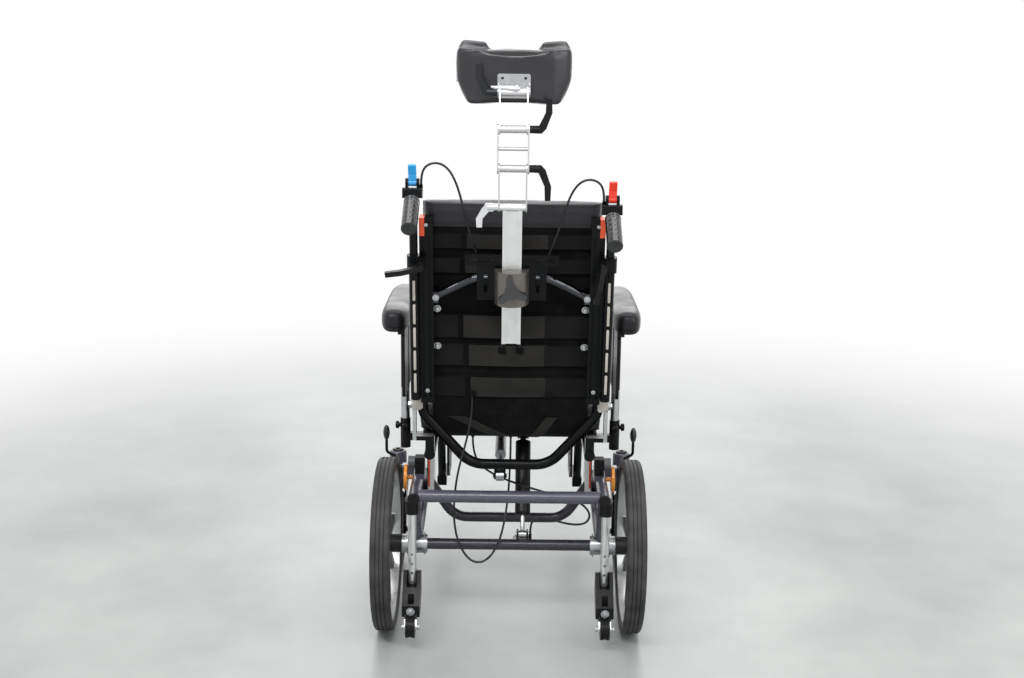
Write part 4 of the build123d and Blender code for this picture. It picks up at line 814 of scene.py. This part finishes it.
class WHEELCHAIR_OT_straps(bpy.types.Operator):
    """Tension straps: each folds back through its loop and fastens on itself"""

    bl_idname = "wheelchair.straps"
    bl_label = "Back straps"

    def strap(self, name, made, stations, low, high, thick):
        """A flat strap through stations of (x, v, sag), with its rear edges eased."""
        maker = bmesh.new()
        rings = []
        for x, v, sag in stations:
            section = [(0, low - sag), (-thick, low + 0.8 - sag), (-thick, high - 0.8 - sag),
                       (0, high - sag)]
            rings.append([maker.verts.new(back(x, v + dv, s)) for dv, s in section])
        skin(maker, rings)
        finished(name, maker, made, "backrest", slot="webbing")

    def execute(self, context):
        loop = material("loop_webbing")
        hook = material("hook_webbing")
        for row, (low, high) in enumerate(STRAP_ROWS):
            low, high = low + 1.5, high - 1.5
            fold_x = FOLDS[row]
            steps = 14
            run = []
            for i in range(steps + 1):
                x = fold_x + (78 - fold_x) * i / steps
                bow = 1.0 * sin(pi * i / steps) + 0.25 * sin(3.1 * pi * i / steps + row)
                run.append((x, -1.7 - bow, 1.1 * sin(pi * i / steps)))
            # the fold goes round from the front layer to the rear one
            turn = [(fold_x - 2.2 * cos(pi * k / 8), -0.5 - 1.2 * sin(pi * k / 8), 0)
                    for k in range(1, 4)]
            self.strap(f"strap_loop_{row + 1}", loop, turn + run, low, high, 1.9)
            run = [(74 + 116 * i / 8, -0.6 - 1.3 * (1 - i / 8), 0.4 * sin(pi * i / 8))
                   for i in range(9)]
            self.strap(f"strap_end_{row + 1}", hook, run, low + 0.5, high - 0.5, 1.6)
            run = [(-190 + (fold_x + 190 - 14) * i / 6, -0.3 - 0.5 * sin(pi * i / 6), 0)
                   for i in range(7)]
            self.strap(f"strap_root_{row + 1}", hook, run, low, high, 1.4)
        return {"FINISHED"}


class WHEELCHAIR_OT_flap(bpy.types.Operator):
    """Fabric flap between the back and the seat, with the bands that hold it"""

    bl_idname = "wheelchair.flap"
    bl_label = "Rear flap"

    half_width = 176
    band_lift, band_thick, band_steps = 2.0, 1.6, 24
    # fore and aft, and height, from behind the lowest strap down to the seat's rear edge
    stations = ((-12, 566), (-10.3, 553), (-7.5, 536), (-1, 519), (6, 503), (20, 480),
                (45, 456), (70, 443.5), (86, 441.5))

    def surface(self, x, share, lift=0.0):
        """A place on the flap: across in millimetres, share of the way down, and lift."""
        last = len(self.stations) - 2
        at = min(share, 0.9999) * (last + 1)
        i = int(at)
        part = at - i
        a, b = Vector(self.stations[i]), Vector(self.stations[i + 1])
        before = Vector(self.stations[max(i - 1, 0)])
        after = Vector(self.stations[min(i + 2, last + 1)])
        point = a + (b - before) * part / 2 + (2 * before - 5 * a + 4 * b - after) * part ** 2 / 2 \
            + (3 * a - before - 3 * b + after) * part ** 3 / 2
        ahead = (b - a).normalized()
        sag = max(0.0, 1.6 * sin(pi * share) * cos(x / 42) * sin(9 * share)) if share > 0.4 else 0
        point += Vector((-ahead.y, ahead.x)) * (lift + sag)
        return chair(x, point.x, point.y)

    def strip(self, maker, start, end, width):
        """A flat band over the flap between two (across, share) places."""
        rings = []
        for i in range(self.band_steps + 1):
            part = i / self.band_steps
            x = start[0] + (end[0] - start[0]) * part
            share = start[1] + (end[1] - start[1]) * part
            rings.append([maker.verts.new(
                self.surface(x + dx * width / 2, share, -self.band_lift - dz))
                for dx, dz in ((-1, 0), (1, 0), (1, self.band_thick), (-1, self.band_thick))])
        skin(maker, rings)

    def execute(self, context):
        maker = bmesh.new()
        across, down = 48, 28
        rows = []
        for lift in (0.0, -1.4):
            rows.append([[maker.verts.new(self.surface(
                self.half_width * (2 * i / across - 1), j / down, lift))
                for i in range(across + 1)] for j in range(down + 1)])
        for sheet in rows:
            for j in range(down):
                for i in range(across):
                    maker.faces.new((sheet[j][i], sheet[j][i + 1], sheet[j + 1][i + 1],
                                     sheet[j + 1][i]))
        front, rear = rows
        rim = ([(0, i) for i in range(across)] + [(j, across) for j in range(down)]
               + [(down, across - i) for i in range(across)] + [(down - j, 0) for j in range(down)])
        for (j, i), (l, k) in zip(rim, rim[1:] + rim[:1]):
            maker.faces.new((front[j][i], front[l][k], rear[l][k], rear[j][i]))
        length = sum((self.surface(0, (j + 1) / down) - self.surface(0, j / down)).length
                     for j in range(down))
        flap = finished("rear_flap", maker, material("velour"), slot="webbing")
        ends = (chair(0, -6, 531), chair(0, 70, 446))
        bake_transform(flap)
        maker = bmesh.new()
        self.strip(maker, (-122, 0.46), (34, 0.95), 38)
        self.strip(maker, (96, 0.46), (48, 0.88), 26)
        bands = finished("flap_bands", maker, material("loop_webbing"),
                         slot="webbing")
        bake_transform(bands)
        return {"FINISHED"}


CABLES = {
    "tilt_cable_upper": (
        (-193, -36, 521), (-193, -36, 543), (-182, -36, 563), (-158, -36, 569),
        (-136, -34, 556), (-120, -32, 526), (-108, -30, 484), (-98, -28, 438), (-84, -22, 385),
        (-62, -16, 325), (-34, -12, 268), (-4, -10, 222), (20, -4, 184), (20, -4, 142)),
    "recline_cable_upper": (
        (193, -36, 489), (193, -36, 511), (182, -36, 531), (158, -36, 537), (136, -34, 524),
        (120, -32, 494), (108, -30, 452), (94, -28, 404), (74, -26, 352), (46, -24, 296),
        (16, -22, 248), (-8, -16, 216), (-20, -4, 184), (-20, -4, 142)),
    "recline_cable_lower": (
        (-100, -16, 450), (-117, -26, 390), (-126, -34, 325), (-126, -38, 262),
        (-112, -40, 206), (-82, -40, 168), (-46, -40, 176), (-20, -34, 222), (-8, -10, 272),
        (-2, 34, 312), (0, 88, 336), (1, 142, 344), (2, 185, 364), (2, 185, 404)),
    "tilt_cable_lower": (
        (-90, 185, 404), (-90, 185, 376), (-76, 140, 352), (-44, 90, 344), (0, 44, 340),
        (54, 4, 336), (102, -24, 332), (142, -36, 326), (172, -38, 312), (187, -32, 288),
        (181, -20, 264), (160, -6, 252), (130, 4, 252), (98, 9, 260), (68, 7, 267),
        (50, 3, 254), (50, 3, 226)),
}


class WHEELCHAIR_OT_cables(bpy.types.Operator):
    """Release cables on one smooth line each"""

    bl_idname = "wheelchair.cables"
    bl_label = "Cables"

    def route(self, name, points):
        """A smooth line through the room that the points guide, as closely spaced points."""
        curve = bpy.data.curves.new(name + "_line", "CURVE")
        curve.dimensions = "3D"
        curve.resolution_u = 10
        spline = curve.splines.new("NURBS")
        spline.points.add(len(points) - 1)
        for slot, point in zip(spline.points, points):
            slot.co = (*point, 1)
        spline.order_u = 3
        spline.use_endpoint_u = True
        holder = bpy.data.objects.new(name + "_line", curve)
        bpy.context.scene.collection.objects.link(holder)
        bpy.context.view_layer.update()
        seen = holder.evaluated_get(bpy.context.evaluated_depsgraph_get())
        mesh = bpy.data.meshes.new_from_object(seen)
        line = [v.co.copy() for v in mesh.vertices]
        bpy.data.meshes.remove(mesh)
        bpy.data.objects.remove(holder)
        bpy.data.curves.remove(curve)
        return line

    def execute(self, context):
        radius = context.scene.wheelchair_hardware.cable_radius
        bends = {
            "tilt_cable_upper": ("push_handle_left", "backrest", back(-190, -36, 530),
                                 back(-70, -22, 400)),
            "recline_cable_upper": ("push_handle_right", "backrest", back(190, -36, 500),
                                    back(60, -25, 370)),
            "recline_cable_lower": ("backrest", "seat", chair(-110, -20, 440),
                                    chair(0, 120, 330)),
            "tilt_cable_lower": ("seat", "base", chair(-88, 170, 370), chair(150, -30, 320)),
        }
        for name, route in CABLES.items():
            upper = "upper" in name
            points = [back(*p) if upper else chair(*p) for p in route]
            if name == "recline_cable_lower":
                points = [back(-86, -4, 22), back(-86, -4, -22)] + points
            line = self.route(name, points)
            if len(line) < len(points):
                raise RuntimeError(f"{name} has no line")
            maker = bmesh.new()
            tube_mesh(maker, line, radius, sides=12)
            piece = finished(name + "_sheath", maker, material("cable_sheath"),
                             replaces=[name], slot="cable")
            length = sum((b - a).length for a, b in zip(line, line[1:]))
            first, second, start, end = bends[name]
            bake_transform(piece)
        return {"FINISHED"}


# the right handle's drop below the left one, and how far the grips droop from level
HANDLE_DROP = {"left": 0, "right": 32}
GRIP_DROOP = radians(22)
# from the handle's bend along the grip, in millimetres
GRIP_START, GRIP_END, GRIP_CAP = 40.3, 119.7, 126.0


class WHEELCHAIR_OT_grips(bpy.types.Operator):
    """Dimpled rubber sleeves on the push handles"""

    bl_idname = "wheelchair.grips"
    bl_label = "Grips"

    def execute(self, context):
        settings = context.scene.wheelchair_hardware
        rubber = material("soft_black_rubber")
        for name, side in SIDES.items():
            way = Vector((0, -cos(GRIP_DROOP), -sin(GRIP_DROOP)))
            bend = Vector((side * 211, -38, 505 - HANDLE_DROP[name]))

            def along(distance):
                return back(*(bend + way * distance))

            start, end = along(GRIP_START), along(GRIP_END)
            placement = basis(start, end - start)
            length = (end - start).length
            maker = bmesh.new()
            around, rows = 72, 60
            rings = []
            for row in range(rows + 1):
                share = row / rows
                ring = []
                for k in range(around):
                    angle = 2 * pi * k / around
                    wave = max(0.0, cos(9 * angle + (row // 6) * pi)) * max(
                        0.0, sin(2 * pi * row / 12)) ** 2
                    edge = min(1.0, 10 * share, 10 * (1 - share))
                    radius = settings.grip_radius * 0.975 + 0.0004 * edge \
                        - settings.dimple * wave * edge
                    ring.append(maker.verts.new(placement @ Vector((
                        radius * cos(angle), radius * sin(angle), length * share))))
                rings.append(ring)
            skin(maker, rings)
            finished(f"grip_sleeve_{name}", maker, rubber, f"push_handle_{name}",
                     slot="black_metal")
            maker = bmesh.new()
            cap = basis(along(GRIP_CAP), end - start)
            lathe(maker, [(0, -0.0010), (0.0155, -0.0010), (0.0162, 0.0), (0.0150, 0.0011),
                          (0.0110, 0.0014), (0.0100, 0.0009), (0, 0.0012)], cap, 40)
            finished(f"grip_end_{name}", maker, rubber, f"push_handle_{name}",
                     slot="black_metal")
        return {"FINISHED"}


class WHEELCHAIR_OT_armrests(bpy.types.Operator):
    """Crowned arm pads with a moulded edge"""

    bl_idname = "wheelchair.armrests"
    bl_label = "Arm pads"

    def execute(self, context):
        made = material("urethane")
        for name in SIDES:
            node = f"armrest_pad_{name}"
            low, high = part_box(node)
            centre = (Vector(low) + Vector(high)) / 2
            half = (Vector(high) - Vector(low)) / 2
            maker = bmesh.new()
            around, rows = 64, 26
            rings = []
            for row in range(rows + 1):
                angle = pi * row / rows - pi / 2
                height = sin(angle)
                reach = cos(angle)
                # a squarer section below, rounder above
                power = 0.42 if height < 0 else 0.62
                level = signed(height, 0.55 if height < 0 else 0.85)
                ring = []
                for k in range(around):
                    turn = 2 * pi * k / around
                    cx = signed(cos(turn), 0.62)
                    cy = signed(sin(turn), 0.36)
                    size = max(reach, 1e-4) ** power
                    lip = 0.985 if -0.42 < height < -0.30 else 1.0
                    ring.append(maker.verts.new(centre + Vector((
                        half.x * cx * size * lip,
                        half.y * cy * (1 - (1 - size) * half.x / half.y) * lip,
                        half.z * level))))
                rings.append(ring)
            skin(maker, rings)
            pad = finished(f"arm_pad_{name}", maker, made, f"armrest_{name}", 60,
                           replaces=[node], slot="black_plastic")
        return {"FINISHED"}


class WHEELCHAIR_OT_fasteners(bpy.types.Operator):
    """Bolts, screws, nuts and caps where the frame is held together"""

    bl_idname = "wheelchair.fasteners"
    bl_label = "Fasteners"

    def bolt(self, maker, spot, normal, across_flats, height):
        """A washer under a hexagon head."""
        place = basis(spot, normal)
        washer = 0.0012
        lathe(maker, [(0, 0), (across_flats * 0.80, 0), (across_flats * 0.80, washer),
                      (0, washer)], place, 28)
        lifted = place @ Matrix.Translation((0, 0, washer))
        prism(maker, hexagon(across_flats), height, lifted, bevel=across_flats * 0.06)

    def screw(self, maker, spot, normal, radius, height):
        """A domed head with a socket."""
        place = basis(spot, normal)
        profile = ((0, 0), (1, 0), (1, 0.35), (0.86, 0.8), (0.5, 1), (0.42, 1), (0.38, 0.3),
                   (0, 0.3))
        lathe(maker, [(radius * r, height * h) for r, h in profile], place, 24)

    def trim(self, maker, side):
        """The bright band round the recline hinge, and the strips in the sleeve's slots."""
        band = [(0.012, 0.022), (-0.012, 0.024), (-0.012, -0.012), (-0.007, -0.017),
                (0.006, -0.015), (0.012, -0.010)]
        prism(maker, band, 0.003, basis(back(side * 209, -14.2, 8), -BACK_FORWARD),
              bevel=0.0006)
        strip = [(0.0028, -0.021), (0.0028, 0.021), (0.0018, 0.023), (-0.0018, 0.023),
                 (-0.0028, 0.021), (-0.0028, -0.021), (-0.0018, -0.023), (0.0018, -0.023)]
        for s in (72, 126, 180, 234, 288):
            prism(maker, strip, 0.0009, basis(back(side * 211, -48.6, s), -BACK_FORWARD),
                  bevel=0.0003)

    def knob(self, maker, spot, normal):
        """The clamping knob of an armrest's socket."""
        lathe(maker, [(0, 0), (0.005, 0), (0.005, 0.003), (0.009, 0.004), (0.009, 0.010),
                      (0.007, 0.012), (0, 0.012)], basis(spot, normal), 10)

    def execute(self, context):
        makers = {}

        def fit(shape, body, kind, *how):
            shape(makers.setdefault((body, kind), bmesh.new()), *how)

        rear = -BACK_FORWARD
        bolt, screw = self.bolt, self.screw
        for name, side in SIDES.items():
            out = (side, 0, 0)
            tipper, fork, brake = (f"{part}_{name}" for part in (
                "anti_tip_arm", "caster_fork", "parking_brake"))
            for s in (232, 144):
                fit(bolt, "backrest", "zinc", back(side * 163, -3.6, s), rear, 0.010, 0.007)
            fit(screw, "backrest", "zinc", back(side * 185, -28, 46), rear, 0.0055, 0.003)
            fit(screw, "backrest", "zinc", back(side * 185, -28, 430), rear, 0.0045, 0.003)
            fit(bolt, "backrest", "zinc", back(side * 164, -46.8, 272), rear, 0.009, 0.004)
            fit(bolt, "base", "zinc", chair(side * 204.2, 250, 385), out, 0.017, 0.006)
            fit(bolt, "base", "zinc", chair(side * 306, 0, 200), out, 0.017, 0.006)
            fit(screw, "base", "zinc", chair(side * 246, 50, 345), out, 0.005, 0.002)
            fit(screw, "base", "black", chair(side * 290, 400, 300), UP, 0.015, 0.004)
            fit(bolt, "seat", "zinc", chair(side * 225, -10, 540), out, 0.013, 0.005)
            fit(screw, "seat", "black", chair(side * 248, 90, 454), (0, -1, 0), 0.007, 0.003)
            fit(bolt, tipper, "zinc", chair(side * 219, -137, 90), (0, -1, 0), 0.012, 0.005)
            for way in (-1, 1):
                fit(bolt, tipper, "zinc", chair(side * 219 + way * 17, -140, 55), (way, 0, 0),
                    0.010, 0.003)
                fit(bolt, fork, "zinc", chair(side * 290 + way * 27, 355, 100), (way, 0, 0),
                    0.013, 0.004)
            fit(screw, brake, "zinc", chair(side * 281.5, 190, 318), out, 0.006, 0.003)
            fit(self.trim, "backrest", "band", side)
            fit(self.knob, "seat", "black", chair(side * 259.5, 120, 452), out)
        for way in (-1, 1):
            fit(bolt, "base", "zinc", chair(32 + way * 13.4, 10, 222), (way, 0, 0), 0.010, 0.003)
        for v, s in ((-57.6, 312), (-60.6, 363)):
            for x in (-56, 56):
                fit(screw, "backrest", "black", back(x, v, s), rear, 0.0065, 0.003)
        finishes = {"zinc": material("zinc_plate"), "black": material("black_powder_coat"),
                    "band": material("warm_grey", "moulded_pale")}
        for (body, kind), maker in makers.items():
            finished(f"fasteners_{body}_{kind}", maker, finishes[kind], body)
        return {"FINISHED"}


# the camera's place to the right of the middle, and where the floor fades to white, in metres
CAMERA_X = 0.0022
FADE_START, FADE_END = 0.9, 3.4


class WHEELCHAIR_OT_stage(bpy.types.Operator):
    """Pale floor, soft studio light and the camera"""

    bl_idname = "wheelchair.stage"
    bl_label = "Stage"

    # name, place, aim, size and power of each lamp
    lamps = (
        ("key", (-0.9, -2.4, 3.0), (0, -0.2, 0.6), (2.8, 0.4), 60),
        ("fill", (2.2, -2.2, 2.2), (0, -0.2, 0.6), (2.0, 2.0), 34),
        ("top", (0, 0.4, 3.2), (0, 0, 0.5), (2.6, 1.6), 34),
        ("front", (0, 3.2, 1.8), (0, 0, 0.6), (2.6, 2.0), 30),
    )

    def execute(self, context):
        settings = context.scene.wheelchair_stage
        scene = context.scene
        scene.view_settings.view_transform = "Standard"
        maker = bmesh.new()
        bmesh.ops.create_grid(maker, x_segments=2, y_segments=2, size=9)
        floor = finished("floor", maker, self.floor_material())
        camera = bpy.data.cameras.new("camera")
        camera.lens = settings.lens
        camera.sensor_width = 36
        holder = bpy.data.objects.new("camera", camera)
        aim = Matrix.Rotation(pi / 2 - settings.pitch, 4, "X") @ Matrix.Rotation(
            settings.roll, 4, "Z")
        holder.matrix_world = Matrix.Translation(
            (CAMERA_X, AXLE_Y - settings.distance, settings.height)) @ aim
        scene.collection.objects.link(holder)
        scene.camera = holder
        for name, spot, aim, size, power in self.lamps:
            lamp = bpy.data.lights.new(name, "AREA")
            lamp.shape = "RECTANGLE"
            lamp.size, lamp.size_y = size
            lamp.energy = power
            holder = bpy.data.objects.new(name, lamp)
            holder.matrix_world = basis(Vector(spot), Vector(spot) - Vector(aim))
            scene.collection.objects.link(holder)
        world = bpy.data.worlds.new("studio")
        scene.world = world
        tree = empty_tree(world)
        soft = add(tree, "Background", Color=(1, 1, 1, 1), Strength=0.55).outputs[0]
        white = add(tree, "Background", Color=(1, 1, 1, 1), Strength=1.0).outputs[0]
        add(tree, "OutputWorld", {"Surface": mixed(tree, self.backdrop_rays(tree), soft, white)})
        return {"FINISHED"}

    def backdrop_rays(self, tree):
        """1 on the rays that see the backdrop: from the camera, off metal and through glass."""
        path = add(tree, "LightPath").outputs
        return maths(tree, "MAXIMUM", path["Is Camera Ray"],
                     maths(tree, "MAXIMUM", path["Is Glossy Ray"], path["Is Transmission Ray"]))

    def floor_material(self):
        """Pale polished concrete that fades to white in the distance"""
        made = bpy.data.materials.new("polished_concrete")
        tree = empty_tree(made)
        place = add(tree, "TexCoord").outputs["Object"]
        cloud = add(tree, "TexNoise", {"Vector": place}, Scale=2.2, Detail=6.0,
                    Roughness=0.6).outputs["Fac"]
        color = ramp(tree, cloud, (0.3, linear("#a3a8a6")), (0.7, linear("#bdc1be")))
        shader = add(tree, "BsdfPrincipled", {"Base Color": color}, Roughness=0.38)
        reach = add(tree, "VectorMath", {0: place}, operation="LENGTH").outputs["Value"]
        far = add(tree, "MapRange", {"Value": reach}, From_Min=FADE_START,
                  From_Max=FADE_END, interpolation_type="SMOOTHSTEP").outputs["Result"]
        white = add(tree, "Emission", Color=(1, 1, 1, 1), Strength=1.0).outputs[0]
        factor = maths(tree, "MULTIPLY", far, self.backdrop_rays(tree))
        add(tree, "OutputMaterial",
            {"Surface": mixed(tree, factor, shader.outputs["BSDF"], white)})
        return made


class WHEELCHAIR_PT_dressing(bpy.types.Panel):
    """Buttons for each group of pieces"""

    bl_label = "Wheelchair"
    bl_idname = "WHEELCHAIR_PT_dressing"
    bl_space_type = "VIEW_3D"
    bl_region_type = "UI"
    bl_category = "Wheelchair"

    def draw(self, context):
        for group in (context.scene.wheelchair_upholstery, context.scene.wheelchair_hardware,
                      context.scene.wheelchair_stage):
            for key in group.bl_rna.properties.keys():
                if key not in {"rna_type", "name"}:
                    self.layout.prop(group, key)
        for step in STEPS:
            self.layout.operator(step.bl_idname)


STEPS = (
    WHEELCHAIR_OT_stage,
    WHEELCHAIR_OT_finishes,
    WHEELCHAIR_OT_cables,
    WHEELCHAIR_OT_cushions,
    WHEELCHAIR_OT_headrest,
    WHEELCHAIR_OT_straps,
    WHEELCHAIR_OT_flap,
    WHEELCHAIR_OT_grips,
    WHEELCHAIR_OT_armrests,
    WHEELCHAIR_OT_fasteners,
)
GROUPS = {
    "wheelchair_upholstery": WheelchairUpholstery,
    "wheelchair_hardware": WheelchairHardware,
    "wheelchair_stage": WheelchairStage,
}


def register():
    for group in GROUPS.values():
        bpy.utils.register_class(group)
    for step in STEPS:
        bpy.utils.register_class(step)
    bpy.utils.register_class(WHEELCHAIR_PT_dressing)
    for key, group in GROUPS.items():
        setattr(bpy.types.Scene, key, bpy.props.PointerProperty(type=group))


def unregister():
    for key in GROUPS:
        delattr(bpy.types.Scene, key)
    bpy.utils.unregister_class(WHEELCHAIR_PT_dressing)
    for step in reversed(STEPS):
        bpy.utils.unregister_class(step)
    for group in reversed(GROUPS.values()):
        bpy.utils.unregister_class(group)


def main():
    register()
    for step in STEPS:
        group, verb = step.bl_idname.split(".")
        getattr(getattr(bpy.ops, group), verb)()
    bpy.context.view_layer.update()


if __name__ == "__main__":
    main()
